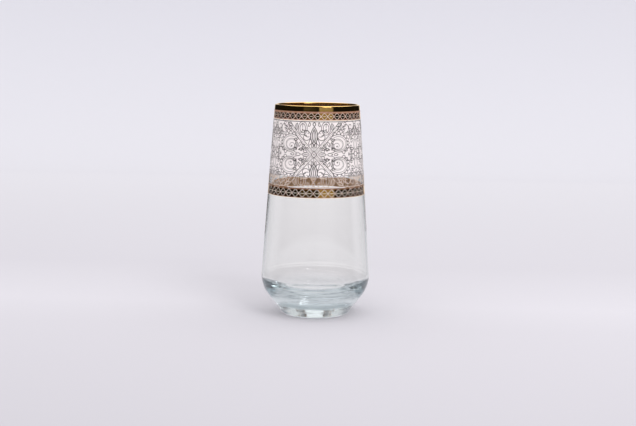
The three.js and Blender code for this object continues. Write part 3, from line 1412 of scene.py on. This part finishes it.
@dataclass
class ScrollFrieze:
    """The frosted band: crossing straps, volutes, leaves and pendants, mirrored both ways."""

    form: GlassForm
    top: float
    width: float = 46.6
    repeats: int = 3
    veil_lift: float = 0.02
    line_base: float = 0.028
    line_rise: float = 0.05
    line_crease: float = 80.0
    bold_width: float = 0.56
    fine_width: float = 0.43
    hair_width: float = 0.3
    vein_width: float = 0.2
    dot_step: float = 0.7
    edge_inset: float = 0.5
    strap_slope: float = math.radians(48)
    strap_half: float = 1.05
    bead_pitch: float = 1.35
    bead_radius: float = 0.36
    volute_centre: Point = (18.4, 7.5)
    volute_reach: Point = (8.4, 6.7)
    volute_core: Point = (16.8, 5.6)
    volute_eye: float = 0.9
    volute_turns: float = 2.6
    volute_start: float = math.radians(140)
    volute_points: int = 90
    volute_taper: float = 2.0
    band_gap: float = 1.35
    band_turns: float = 0.95
    vein_turns: float = 1.9
    lobe_count: int = 9
    lobe_turns: tuple[float, float] = (0.05, 0.58)
    lobe_height: float = 2.2
    lobe_points: int = 9
    lobe_fullness: float = 0.6
    eye_radius: float = 0.6
    axis_spindles: tuple[Spindle, ...] = (
        Spindle(6.6, 19.2, 2.5),
        Spindle(19.6, 22.4, 1.0),
        Spindle(8.2, 17.6, 1.3),
    )
    axis_stems: tuple[Point, ...] = ((2.9, 6.6), (9.4, 16.4))
    axis_diamond: Point = (2.1, 2.7)
    axis_bud: float = 0.6
    side_spindles: tuple[Spindle, ...] = (
        Spindle(2.6, 10.4, 1.8),
        Spindle(11.2, 21.6, 2.4),
        Spindle(12.8, 20.0, 1.2),
    )
    side_ring: float = 1.7
    side_ring_step: float = 0.25
    pendant_centre: Point = (8.6, 18.2)
    pendant_rings: tuple[Point, ...] = ((3.4, 4.6), (2.1, 3.1))
    pendant_points: int = 41
    pendant_stem: Point = (22.6, 18.0)
    stem_taper: float = 1.0
    pendant_bud: Point = (17.2, 0.6)
    segments: int = 288
    leaves: tuple[Leaf, ...] = (
        Leaf((3.2, 0.0), (8.8, 0.0), 1.4, rib=True),
        Leaf((9.6, 0.0), (13.6, 0.0), 1.0),
        Leaf((14.4, 0.0), (17.6, 0.0), 0.8),
        Leaf((3.6, 6.4), (2.6, 11.0), 1.0, 0.5),
        Leaf((13.2, 17.0), (12.8, 21.8), 1.1, -0.5, True),
        Leaf((16.4, 19.8), (21.2, 22.0), 0.9, -0.4),
        Leaf((29.4, 8.2), (32.6, 10.6), 0.9, 0.4),
        Leaf((7.4, 3.6), (11.4, 3.2), 0.7, 0.4),
        Leaf((1.4, 4.4), (1.2, 8.6), 0.6, 0.2),
        Leaf((4.2, 19.4), (3.4, 22.4), 0.7, 0.3),
        Leaf((9.0, 8.6), (11.0, 5.2), 0.8, 0.5),
        Leaf((13.6, 7.6), (13.2, 3.6), 0.6, 0.3),
    )
    palmettes: tuple[Palmette, ...] = (
        Palmette((28.0, 3.8), 0.0, 4.6, 3, 100.0),
        Palmette((27.4, 12.4), 40.0, 5.6),
        Palmette((20.2, 16.2), 84.0, 5.2),
        Palmette((9.4, 5.4), 212.0, 4.8, 3, 100.0),
        Palmette((12.0, 9.4), 20.0, 3.4, 3, 90.0),
    )
    curls: tuple[Curl, ...] = (
        Curl((25.0, 22.2), (29.6, 19.4), 1.5, True),
        Curl((10.6, 14.4), (6.0, 12.4), 1.5, False),
        Curl((23.4, 1.2), (27.6, 1.0), 1.2, True),
        Curl((22.6, 15.0), (24.4, 18.6), 1.3, False),
        Curl((30.8, 13.2), (32.2, 16.2), 1.2, False),
        Curl((3.2, 3.4), (5.8, 2.4), 1.2, True),
        Curl((3.0, 12.6), (4.9, 15.1), 1.2, False),
        Curl((26.8, 17.4), (29.0, 15.4), 1.2, True),
        Curl((21.6, 20.2), (23.6, 21.4), 1.1, False),
        Curl((29.6, 1.0), (31.6, 2.2), 1.2, False),
        Curl((12.0, 1.6), (13.4, 3.4), 1.2, False),
    )

    @property
    def low(self) -> float:
        """Height of the frieze's lower edge."""
        return self.top - self.width

    @property
    def skin(self) -> WallSkin:
        """The wall unrolled about the frieze's middle line."""
        return WallSkin(self.form, self.top - self.width / 2)

    @property
    def repeat(self) -> float:
        """Length of one repeat along the middle line."""
        return TAU * self.skin.radius / self.repeats

    @property
    def half(self) -> float:
        """Height of the drawn field above the middle line."""
        return self.width / 2 - self.edge_inset

    def build(self, finishes: Finishes) -> None:
        """Makes the milky ground and the drawn lines.

        Args:
            finishes: the finishes to take from.
        """
        self.lay_ground(finishes)
        self.lay_lines(finishes)

    def lay_ground(self, finishes: Finishes) -> None:
        """Makes the milky ground as one sheet a hair off the wall.

        Args:
            finishes: the finishes to take from.
        """
        stock = MeshStock()
        count = self.segments
        across = np.arange(count) * TAU / count * self.skin.radius
        edges = [
            self.skin.place(across, np.full_like(across, up), self.veil_lift)
            for up in (-self.width / 2, self.width / 2)
        ]
        faces = [(j, (j + 1) % count, count + (j + 1) % count, count + j) for j in range(count)]
        stock.add(np.concatenate(edges), faces)
        ground = stock.piece("scroll_frieze_ground", [finishes.veil])
        seat(ground, Slot.FROSTED_SCROLL)

    def lay_lines(self, finishes: Finishes) -> None:
        """Makes the drawn lines, every stroke a ridge of its own.

        Args:
            finishes: the finishes to take from.
        """
        stock = MeshStock()
        thread = Thread(self.skin, self.line_base, self.line_rise)
        for stroke in self.strokes():
            for copy in self.copies(stroke):
                thread.lay(stock, copy)
        for ring in self.edge_rings():
            thread.lay(stock, ring)
        lines = stock.piece(
            "scroll_frieze_lines",
            [finishes.lines, finishes.print_back],
            crease_degrees=self.line_crease,
        )
        seat(lines, Slot.FROSTED_SCROLL, "scroll_frieze")

    def copies(self, stroke: Stroke) -> Iterator[Stroke]:
        """Mirrors and repeats a stroke.

        Args:
            stroke: the stroke in the first quarter of a repeat.

        Returns:
            Each copy round the band.
        """
        for k in range(self.repeats):
            for way, flip in stroke.symmetry.value:
                path = stroke.path * np.array([way, flip]) + np.array([k * self.repeat, 0.0])
                if way * flip < 0:
                    path = path[::-1]
                yield replace(stroke, path=path)

    def edge_rings(self) -> Iterator[Stroke]:
        """Draws the thin line along each edge of the frieze.

        Returns:
            The two lines, each once round the glass.
        """
        across = np.linspace(0.0, TAU * self.skin.radius, self.segments + 1)
        for up in (self.half, -self.half):
            ring = np.stack([across, np.full_like(across, up)], axis=1)
            yield Stroke(ring, self.fine_width, closed=True)

    def strokes(self) -> Iterator[Stroke]:
        """Draws the first quarter of a repeat.

        Returns:
            Every stroke in it.
        """
        yield from self.strap()
        yield from self.volute()
        yield from self.lancets()
        yield from self.pendant()
        yield from self.side_axis()
        fans = [leaf for palmette in self.palmettes for leaf in palmette.fan()]
        for leaf in (*self.leaves, *fans):
            yield from leaf.strokes(self.fine_width)
        for curl in self.curls:
            yield curl.stroke(self.fine_width)

    def strap(self) -> Iterator[Stroke]:
        """Draws the slanting strap.

        Returns:
            Its two lines, and the beads between them.
        """
        way = np.array([math.cos(self.strap_slope), math.sin(self.strap_slope)])
        left = np.array([-way[1], way[0]])
        lean = math.tan(self.strap_slope)
        for side, start in ((1, self.strap_half * lean), (-1, self.strap_half / lean)):
            off = left * side * self.strap_half
            end = (self.half - off[1]) / way[1]
            yield Stroke(np.array([way * start + off, way * end + off]), self.fine_width)
        length = self.half / way[1]
        for along in np.arange(self.bead_pitch, length - self.bead_pitch / 2, self.bead_pitch):
            yield self.dot(tuple(way * along), self.bead_radius)

    def dot(self, centre: Point, radius: float, symmetry: Symmetry = Symmetry.QUARTERS) -> Stroke:
        """A round dot, drawn as a small closed stroke."""
        ring = np.array(arc(centre, radius / 2, 0.0, TAU, self.dot_step))
        return Stroke(ring, radius, True, symmetry)

    def spiral(self, shrink: float, turns: float) -> np.ndarray:
        """Points of the volute's spiral, wound in from the strap.

        Args:
            shrink: distance inside the outermost line.
            turns: how far it winds.

        Returns:
            A row across and up for each point.
        """
        t = np.linspace(0.0, turns, round(self.volute_points * turns))
        angle = self.volute_start - t * TAU
        ease = t / self.volute_turns
        centre = np.outer(1 - ease, self.volute_centre) + np.outer(ease, self.volute_core)
        outermost = np.array(self.volute_reach) - shrink
        reach = np.outer(1 - ease, outermost) + np.outer(ease, (self.volute_eye, self.volute_eye))
        return centre + reach * np.stack([np.cos(angle), np.sin(angle)], axis=1)

    def volute(self) -> Iterator[Stroke]:
        """Draws the volute.

        Returns:
            The double line of its outer turn, the finer lines of its inner turns, its eye and the leaf
            lobes along its outside.
        """
        whole = self.spiral(0.0, self.volute_turns)
        neck = round(len(whole) * self.band_turns / self.volute_turns)
        yield Stroke(whole[: neck + 1], self.fine_width)
        yield Stroke(whole[neck:], self.hair_width, taper=self.volute_taper)
        band = self.spiral(self.band_gap, self.band_turns)
        yield Stroke(band, self.hair_width, taper=self.volute_taper)
        vein = self.spiral(self.band_gap, self.vein_turns)
        band_end = round(len(vein) * self.band_turns / self.vein_turns)
        yield Stroke(vein[band_end:], self.vein_width, taper=self.volute_taper)
        yield self.dot(self.volute_core, self.eye_radius)
        yield from self.lobes()

    def lobes(self) -> Iterator[Stroke]:
        """Draws the leaf lobes along the outside of the volute.

        Returns:
            The crown of each lobe.
        """
        outer = self.spiral(0.0, self.volute_turns)
        edges = np.linspace(*self.lobe_turns, self.lobe_count + 1) * (len(outer) - 1)
        edges = edges / self.volute_turns
        swell = np.sin(np.linspace(0.0, math.pi, self.lobe_points)) ** self.lobe_fullness
        for a, b in zip(edges[:-1], edges[1:]):
            t = np.linspace(a, b, self.lobe_points)
            foot = np.stack([np.interp(t, np.arange(len(outer)), outer[:, i]) for i in (0, 1)], 1)
            away = foot - np.array(self.volute_centre)
            away = away / np.linalg.norm(away, axis=1, keepdims=True)
            yield Stroke(foot + away * (self.lobe_height * swell)[:, None], self.fine_width)

    def lancets(self) -> Iterator[Stroke]:
        """Draws what stands on the pattern's own axis.

        Returns:
            The tall pointed leaves, their stems, and the diamond with its bud.
        """
        for spindle in self.axis_spindles:
            yield spindle.stroke(0.0, self.bold_width)
        for low, high in self.axis_stems:
            stem = np.array([(0.0, low), (0.0, high)])
            yield Stroke(stem, self.fine_width, symmetry=Symmetry.UPRIGHT)
        wide, tall = self.axis_diamond
        diamond = np.array([(0.0, tall), (wide, 0.0), (0.0, -tall), (-wide, 0.0), (0.0, tall)])
        yield Stroke(diamond, self.fine_width, True, Symmetry.SINGLE)
        yield self.dot((0.0, 0.0), self.axis_bud, Symmetry.SINGLE)

    def pendant(self) -> Iterator[Stroke]:
        """Draws the bell-shaped loop that hangs from the edge.

        Returns:
            Its rings, its stem and the bud inside it.
        """
        turn = np.linspace(0.0, TAU, self.pendant_points)
        across, up = self.pendant_centre
        for wide, tall in self.pendant_rings:
            path = np.stack([across + wide * np.cos(turn), up + tall * np.sin(turn)], axis=1)
            yield Stroke(path, self.fine_width, True)
        stem = np.array([(across, end) for end in self.pendant_stem])
        yield Stroke(stem, self.fine_width, taper=self.stem_taper)
        bud_height, bud_radius = self.pendant_bud
        yield self.dot((across, bud_height), bud_radius)

    def side_axis(self) -> Iterator[Stroke]:
        """Draws what stands on the axis between two repeats.

        Returns:
            A ring on the middle line, and pointed leaves.
        """
        axis = self.repeat / 2
        ring = np.array(arc((axis, 0.0), self.side_ring, 0.0, TAU, self.side_ring_step))
        yield Stroke(ring, self.fine_width, True, Symmetry.SINGLE)
        for spindle in self.side_spindles:
            yield spindle.stroke(axis, self.fine_width)


@dataclass(frozen=True)
class Directions:
    """Sockets of the world's node tree that say which way a ray goes."""

    way: bpy.types.NodeSocket
    back: bpy.types.NodeSocket
    up: bpy.types.NodeSocket
    turn: bpy.types.NodeSocket
    rise: bpy.types.NodeSocket

    @classmethod
    def add(cls, tree: bpy.types.NodeTree) -> "Directions":
        """Adds the nodes that work a ray's direction out.

        Args:
            tree: the world's node tree.

        Returns:
            The direction, its share to the back and upwards, and its turn and rise from 0 to 1.
        """
        way = add_node(tree, "ShaderNodeTexCoord").outputs["Generated"]
        split = add_node(tree, "ShaderNodeSeparateXYZ", {"Vector": way})
        back, up = split.outputs["Y"], split.outputs["Z"]
        front = add_node(tree, "ShaderNodeMath", {0: back, 1: -1.0}, operation="MULTIPLY")
        azimuth = add_node(
            tree,
            "ShaderNodeMath",
            {0: split.outputs["X"], 1: front.outputs["Value"]},
            operation="ARCTAN2",
        )
        turn = add_node(
            tree,
            "ShaderNodeMapRange",
            {"Value": azimuth.outputs["Value"], "From Min": -math.pi, "From Max": math.pi},
        )
        rise = add_node(tree, "ShaderNodeMapRange", {"Value": up, "From Min": -1.0})
        return cls(way, back, up, turn.outputs["Result"], rise.outputs["Result"])

    @staticmethod
    def turn_place(degrees: float) -> float:
        """Place on a ramp along the turn of an angle from the front."""
        return degrees / 360 + 0.5

    @staticmethod
    def rise_place(degrees: float) -> float:
        """Place on a ramp along the rise of an angle above level."""
        return (math.sin(math.radians(degrees)) + 1) / 2


@dataclass(frozen=True)
class Room:
    """The room as plain tones of the world: the light on everything, the tone behind the paper, the
    dark walls that gold mirrors and what the glass shows. The turns and rises of its walls, bands and
    window are in degrees."""

    light_tone: str = "#FFFFFF"
    horizon_light: float = 0.98
    zenith_light: float = 1.12
    front_light: float = 0.25
    paper_tone: str = "#E6E4EA"
    floor_tone: str = "#E2DFE6"
    floor_start: float = -0.075
    floor_full: float = -0.2
    canopy_tone: Colour = (2.6, 2.6, 2.5, 1.0)
    canopy_rise: float = math.radians(58)
    canopy_reach: float = math.radians(27)
    canopy_fade: float = math.radians(4)
    window_turns: tuple[float, float] = (16.0, 30.0)
    window_rises: tuple[float, float] = (30.0, 38.0)
    window_soft: float = 2.0
    window_light: float = 8.0
    back_full: float = 0.3
    # Between no bounce and one.
    any_bounce: float = 0.5
    # Brightness of the walls round the glass, by turn.
    walls: tuple[Point, ...] = (
        (-163.0, 0.85),
        (-156.0, 0.01),
        (-34.0, 0.01),
        (-32.0, 0.06),
        (-2.0, 0.03),
        (8.0, 0.01),
        (10.0, 0.32),
        (44.0, 0.30),
        (48.0, 0.01),
        (156.0, 0.01),
        (163.0, 0.85),
    )
    # What light that has turned inside the foot sees in front of the glass, by rise.
    front_bands: Bands = (
        (-27.0, "#D8DCE0"),
        (-20.0, "#3A4046"),
        (4.0, "#3A4046"),
        (7.0, "#A6ACB1"),
        (13.0, "#A6ACB1"),
        (16.0, "#3E444A"),
        (24.0, "#3E444A"),
        (27.0, "#9AA0A5"),
        (33.0, "#9AA0A5"),
        (36.0, "#4A5056"),
        (46.0, "#60666C"),
        (56.0, "#FFFFFF"),
    )
    # What it sees above the paper behind the glass, by rise.
    back_bands: Bands = (
        (3.0, "#DDDDE1"),
        (4.0, "#50565C"),
        (5.5, "#DDDDE1"),
        (11.0, "#DDDDE1"),
        (11.8, "#7C8287"),
        (12.6, "#DDDDE1"),
        (13.4, "#DDDDE1"),
        (14.0, "#7A8086"),
        (14.8, "#C9CCD0"),
        (16.0, "#DDDDE1"),
        (16.8, "#666C72"),
        (17.8, "#DDDDE1"),
        (21.0, "#DDDDE1"),
        (22.5, "#666C72"),
        (24.0, "#DDDDE1"),
        (30.0, "#DDDDE1"),
        (32.0, "#5A6066"),
        (36.0, "#5A6066"),
        (48.0, "#7E858B"),
        (56.0, "#E6E4EA"),
        (64.0, "#FFFFFF"),
    )
    # The paper's tones, as light comes straight through the glass, by rise.
    clear_bands: Bands = (
        (-60.0, "#E9E6EA"),
        (-14.0, "#E0DDE0"),
        (-10.2, "#E8E5E8"),
        (-9.5, "#F0EDF0"),
        (-8.9, "#F5F2F4"),
        (-8.2, "#EEEBEE"),
        (-7.0, "#E9E6E9"),
        (-3.0, "#E6E3E7"),
        (10.0, "#E6E4E9"),
        (22.0, "#DEE1E5"),
        (30.0, "#AEB4B9"),
        (36.0, "#BCC2C6"),
        (44.0, "#DDE1E4"),
        (60.0, "#FFFFFF"),
    )

    def build(self) -> None:
        """Makes the world, with one view of the room for each kind of ray."""
        world = bpy.data.worlds.new("studio_room")
        bpy.context.scene.world = world
        world.use_nodes = True
        world.cycles.sampling_method = "NONE"
        tree = world.node_tree
        tree.nodes.clear()
        ways = Directions.add(tree)
        ray = add_node(tree, "ShaderNodeLightPath")
        looking = add_node(
            tree,
            "ShaderNodeMath",
            {0: ray.outputs["Diffuse Depth"], 1: self.any_bounce},
            operation="LESS_THAN",
        )
        light = add_node(
            tree,
            "ShaderNodeBackground",
            {"Color": linear(self.light_tone), "Strength": self.light(tree, ways)},
        )
        shown = light.outputs["Background"]
        views = {
            "Is Camera Ray": linear(self.paper_tone),
            "Is Glossy Ray": self.mirrored(tree, ways),
            "Is Transmission Ray": self.refracted(tree, ways, ray.outputs["Glossy Depth"]),
        }
        for kind, tone in views.items():
            view = add_node(tree, "ShaderNodeBackground", {"Color": tone})
            share = add_node(
                tree,
                "ShaderNodeMath",
                {0: ray.outputs[kind], 1: looking.outputs["Value"]},
                operation="MULTIPLY",
            )
            mix = add_node(
                tree,
                "ShaderNodeMixShader",
                {0: share.outputs["Value"], 1: shown, 2: view.outputs["Background"]},
            )
            shown = mix.outputs["Shader"]
        add_node(tree, "ShaderNodeOutputWorld", {"Surface": shown})

    def light(self, tree: bpy.types.NodeTree, ways: Directions) -> bpy.types.NodeSocket:
        """Adds the strength of the light on everything.

        Args:
            tree: the world's node tree.
            ways: the ray's direction.

        Returns:
            The strength, a little more from above and from the front.
        """
        from_above = add_node(
            tree,
            "ShaderNodeMapRange",
            {"Value": ways.up, "To Min": self.horizon_light, "To Max": self.zenith_light},
        )
        from_front = add_node(
            tree,
            "ShaderNodeMapRange",
            {
                "Value": ways.back,
                "From Min": -1.0,
                "To Min": 1 + self.front_light,
                "To Max": 1 - self.front_light,
            },
        )
        strength = add_node(
            tree,
            "ShaderNodeMath",
            {0: from_above.outputs["Result"], 1: from_front.outputs["Result"]},
            operation="MULTIPLY",
        )
        return strength.outputs["Value"]

    def mirrored(self, tree: bpy.types.NodeTree, ways: Directions) -> bpy.types.NodeSocket:
        """Adds what gold and glass mirror.

        Args:
            tree: the world's node tree.
            ways: the ray's direction.

        Returns:
            The tone of the walls, of the paper below them and of the bright canopy overhead.
        """
        walls = set_ramp(
            add_node(tree, "ShaderNodeValToRGB", {"Fac": ways.turn}),
            [(ways.turn_place(turn), (v, v, v, 1.0)) for turn, v in self.walls],
        )
        below = add_node(
            tree,
            "ShaderNodeMapRange",
            {"Value": ways.up, "From Min": self.floor_start, "From Max": self.floor_full},
        )
        on_floor = add_node(
            tree,
            "ShaderNodeMix",
            {
                MIX_SHARE: below.outputs["Result"],
                MIX_FIRST: walls.outputs["Color"],
                MIX_SECOND: linear(self.floor_tone),
            },
            data_type="RGBA",
        )
        overhead = (0.0, math.cos(self.canopy_rise), math.sin(self.canopy_rise))
        nearness = add_node(
            tree, "ShaderNodeVectorMath", {0: ways.way, 1: overhead}, operation="DOT_PRODUCT"
        )
        above = add_node(
            tree,
            "ShaderNodeMapRange",
            {
                "Value": nearness.outputs["Value"],
                "From Min": math.cos(self.canopy_reach + self.canopy_fade),
                "From Max": math.cos(self.canopy_reach - self.canopy_fade),
            },
        )
        under_canopy = add_node(
            tree,
            "ShaderNodeMix",
            {
                MIX_SHARE: above.outputs["Result"],
                MIX_FIRST: on_floor.outputs[MIX_RESULT],
                MIX_SECOND: self.canopy_tone,
            },
            data_type="RGBA",
        )
        return under_canopy.outputs[MIX_RESULT]

    def window(self, tree: bpy.types.NodeTree, ways: Directions) -> bpy.types.NodeSocket:
        """Adds the small window, which shows as a glint in the foot.

        Args:
            tree: the world's node tree.
            ways: the ray's direction.

        Returns:
            The window's share of what is seen: 1 in it and 0 outside.
        """
        shares = []
        for line, place, (low, high) in (
            (ways.turn, ways.turn_place, self.window_turns),
            (ways.rise, ways.rise_place, self.window_rises),
        ):
            outer_low, outer_high = low - self.window_soft, high + self.window_soft
            edges = ((outer_low, 0.0), (low, 1.0), (high, 1.0), (outer_high, 0.0))
            ramp = set_ramp(
                add_node(tree, "ShaderNodeValToRGB", {"Fac": line}),
                [(place(angle), (v, v, v, 1.0)) for angle, v in edges],
            )
            shares.append(ramp.outputs["Color"])
        both = add_node(
            tree, "ShaderNodeMath", {0: shares[0], 1: shares[1]}, operation="MULTIPLY"
        )
        return both.outputs["Value"]

    def refracted(
        self, tree: bpy.types.NodeTree, ways: Directions, turns: bpy.types.NodeSocket
    ) -> bpy.types.NodeSocket:
        """Adds what the glass shows.

        Args:
            tree: the world's node tree.
            ways: the ray's direction.
            turns: how often the ray was mirrored on its way.

        Returns:
            The paper's tone straight through the glass, and the room's after a turn in the foot.
        """
        front, back, straight = (
            set_ramp(
                add_node(tree, "ShaderNodeValToRGB", {"Fac": ways.rise}),
                [(ways.rise_place(rise), linear(tone)) for rise, tone in bands],
            ).outputs["Color"]
            for bands in (self.front_bands, self.back_bands, self.clear_bands)
        )
        behind = add_node(
            tree,
            "ShaderNodeMapRange",
            {"Value": ways.back, "From Min": 0.0, "From Max": self.back_full},
        )
        turned = add_node(
            tree, "ShaderNodeMath", {0: turns, 1: self.any_bounce}, operation="GREATER_THAN"
        )
        window_tone = (self.window_light, self.window_light, self.window_light, 1.0)
        tone = front
        for share, other in (
            (behind.outputs["Result"], back),
            (self.window(tree, ways), window_tone),
        ):
            mix = add_node(
                tree,
                "ShaderNodeMix",
                {MIX_SHARE: share, MIX_FIRST: tone, MIX_SECOND: other},
                data_type="RGBA",
            )
            tone = mix.outputs[MIX_RESULT]
        shown = add_node(
            tree,
            "ShaderNodeMix",
            {MIX_SHARE: turned.outputs["Value"], MIX_FIRST: straight, MIX_SECOND: tone},
            data_type="RGBA",
        )
        return shown.outputs[MIX_RESULT]


@dataclass
class Studio:
    """The pale sweep, the room round it, the soft lamp and the camera."""

    light_turns: int = 40
    sweep_half_width: float = 0.95
    sweep_front: float = -1.25
    sweep_bend_start: float = 0.95
    sweep_bend_radius: float = 0.3
    sweep_height: float = 0.31
    key_distance: float = 1.3
    key_turn: float = math.radians(34)
    key_rise: float = math.radians(46)
    key_size: float = 0.45
    key_power: float = 3.0
    camera_distance: float = 0.930
    camera_height: float = 0.1974
    camera_pitch: float = math.radians(7.60)
    camera_azimuth: float = math.radians(3.5)
    camera_yaw: float = math.radians(-0.09)
    camera_roll: float = math.radians(0.75)
    camera_lens: float = 73.13
    camera_near: float = 0.01

    def build(self) -> None:
        """Sets up the sweep, the room, the lamp and the camera."""
        self.set_light_paths()
        self.lay_sweep()
        Room().build()
        self.hang_lamp()
        self.place_camera()
        bpy.context.scene.view_settings.view_transform = "Standard"

    def set_light_paths(self) -> None:
        """Lets light turn often enough inside the heavy foot to find its way out."""
        paths = bpy.context.scene.cycles
        paths.max_bounces = self.light_turns
        paths.glossy_bounces = self.light_turns
        paths.transmission_bounces = self.light_turns

    def lay_sweep(self) -> None:
        """Rolls out the paper: flat under the glass, then up behind it. Gold and glass see the room's
        tones in its place."""
        bend = arc(
            (self.sweep_bend_start, self.sweep_bend_radius),
            self.sweep_bend_radius,
            -math.pi / 2,
            0.0,
        )
        back = self.sweep_bend_start + self.sweep_bend_radius
        rows = [(self.sweep_front, 0.0), (0.0, 0.0), *bend, (back, self.sweep_height)]
        half = self.sweep_half_width
        points = [(x, y, z) for y, z in rows for x in (-half, half)]
        faces = [(2 * i, 2 * i + 1, 2 * i + 3, 2 * i + 2) for i in range(len(rows) - 1)]
        mesh = bpy.data.meshes.new("studio_sweep")
        mesh.from_pydata(points, [], faces)
        mesh.materials.append(SweepPaper().material())
        mesh.polygons.foreach_set("use_smooth", [True] * len(faces))
        sweep = bpy.data.objects.new("studio_sweep", mesh)
        sweep.visible_glossy = False
        sweep.visible_transmission = False
        bpy.context.scene.collection.objects.link(sweep)

    def hang_lamp(self) -> None:
        """Hangs one soft key lamp on the right, so that the shadow falls to the left."""
        lamp = bpy.data.lights.new("key_softbox", "AREA")
        lamp.shape = "RECTANGLE"
        lamp.size = self.key_size
        lamp.size_y = self.key_size
        lamp.energy = self.key_power
        key = bpy.data.objects.new("key_softbox", lamp)
        key.visible_transmission = False
        reach = self.key_distance * math.cos(self.key_rise)
        key.location = (
            reach * math.sin(self.key_turn),
            -reach * math.cos(self.key_turn),
            self.key_distance * math.sin(self.key_rise),
        )
        key.rotation_euler = Euler((math.pi / 2 - self.key_rise, 0.0, self.key_turn))
        bpy.context.scene.collection.objects.link(key)

    def place_camera(self) -> None:
        """Stands the camera where the photograph was taken from."""
        data = bpy.data.cameras.new("photo_camera")
        data.lens = self.camera_lens
        data.sensor_fit = "HORIZONTAL"
        data.clip_start = self.camera_near
        camera = bpy.data.objects.new("photo_camera", data)
        turn = self.camera_azimuth
        tilt = Euler((math.pi / 2 - self.camera_pitch, 0.0, turn + self.camera_yaw))
        roll = Matrix.Rotation(self.camera_roll, 3, "Z")
        place = (
            self.camera_distance * math.sin(turn),
            -self.camera_distance * math.cos(turn),
            self.camera_height,
        )
        camera.matrix_world = Matrix.Translation(place) @ (tilt.to_matrix() @ roll).to_4x4()
        bpy.context.scene.collection.objects.link(camera)
        bpy.context.scene.camera = camera


def main() -> None:
    """Builds the camera and studio, then each piece of the glass in order."""
    logging.basicConfig(level=logging.INFO, format="%(name)s %(message)s")
    Studio().build()
    form = GlassForm()
    film = GoldFilm()
    rim = RimGoldBand(form, film)
    upper = LatticeBorder(
        form,
        film,
        "upper_border_band",
        top=rim.low - FILM_GAP,
        width=6.3,
        tone=BorderTone.ROSE,
        line_width=0.21,
        dash_share=0.4,
        figure_margin=0.1,
        corner_margin=0.36,
    )
    frieze = ScrollFrieze(form, top=upper.low - FILM_GAP)
    lower = LatticeBorder(form, film, "lower_border_band", top=frieze.low - FILM_GAP, width=7.2)
    finishes = Finishes.make()
    for piece in (GlassBody(form), rim, upper, frieze, lower):
        piece.build(finishes)


if __name__ == "__main__":
    main()
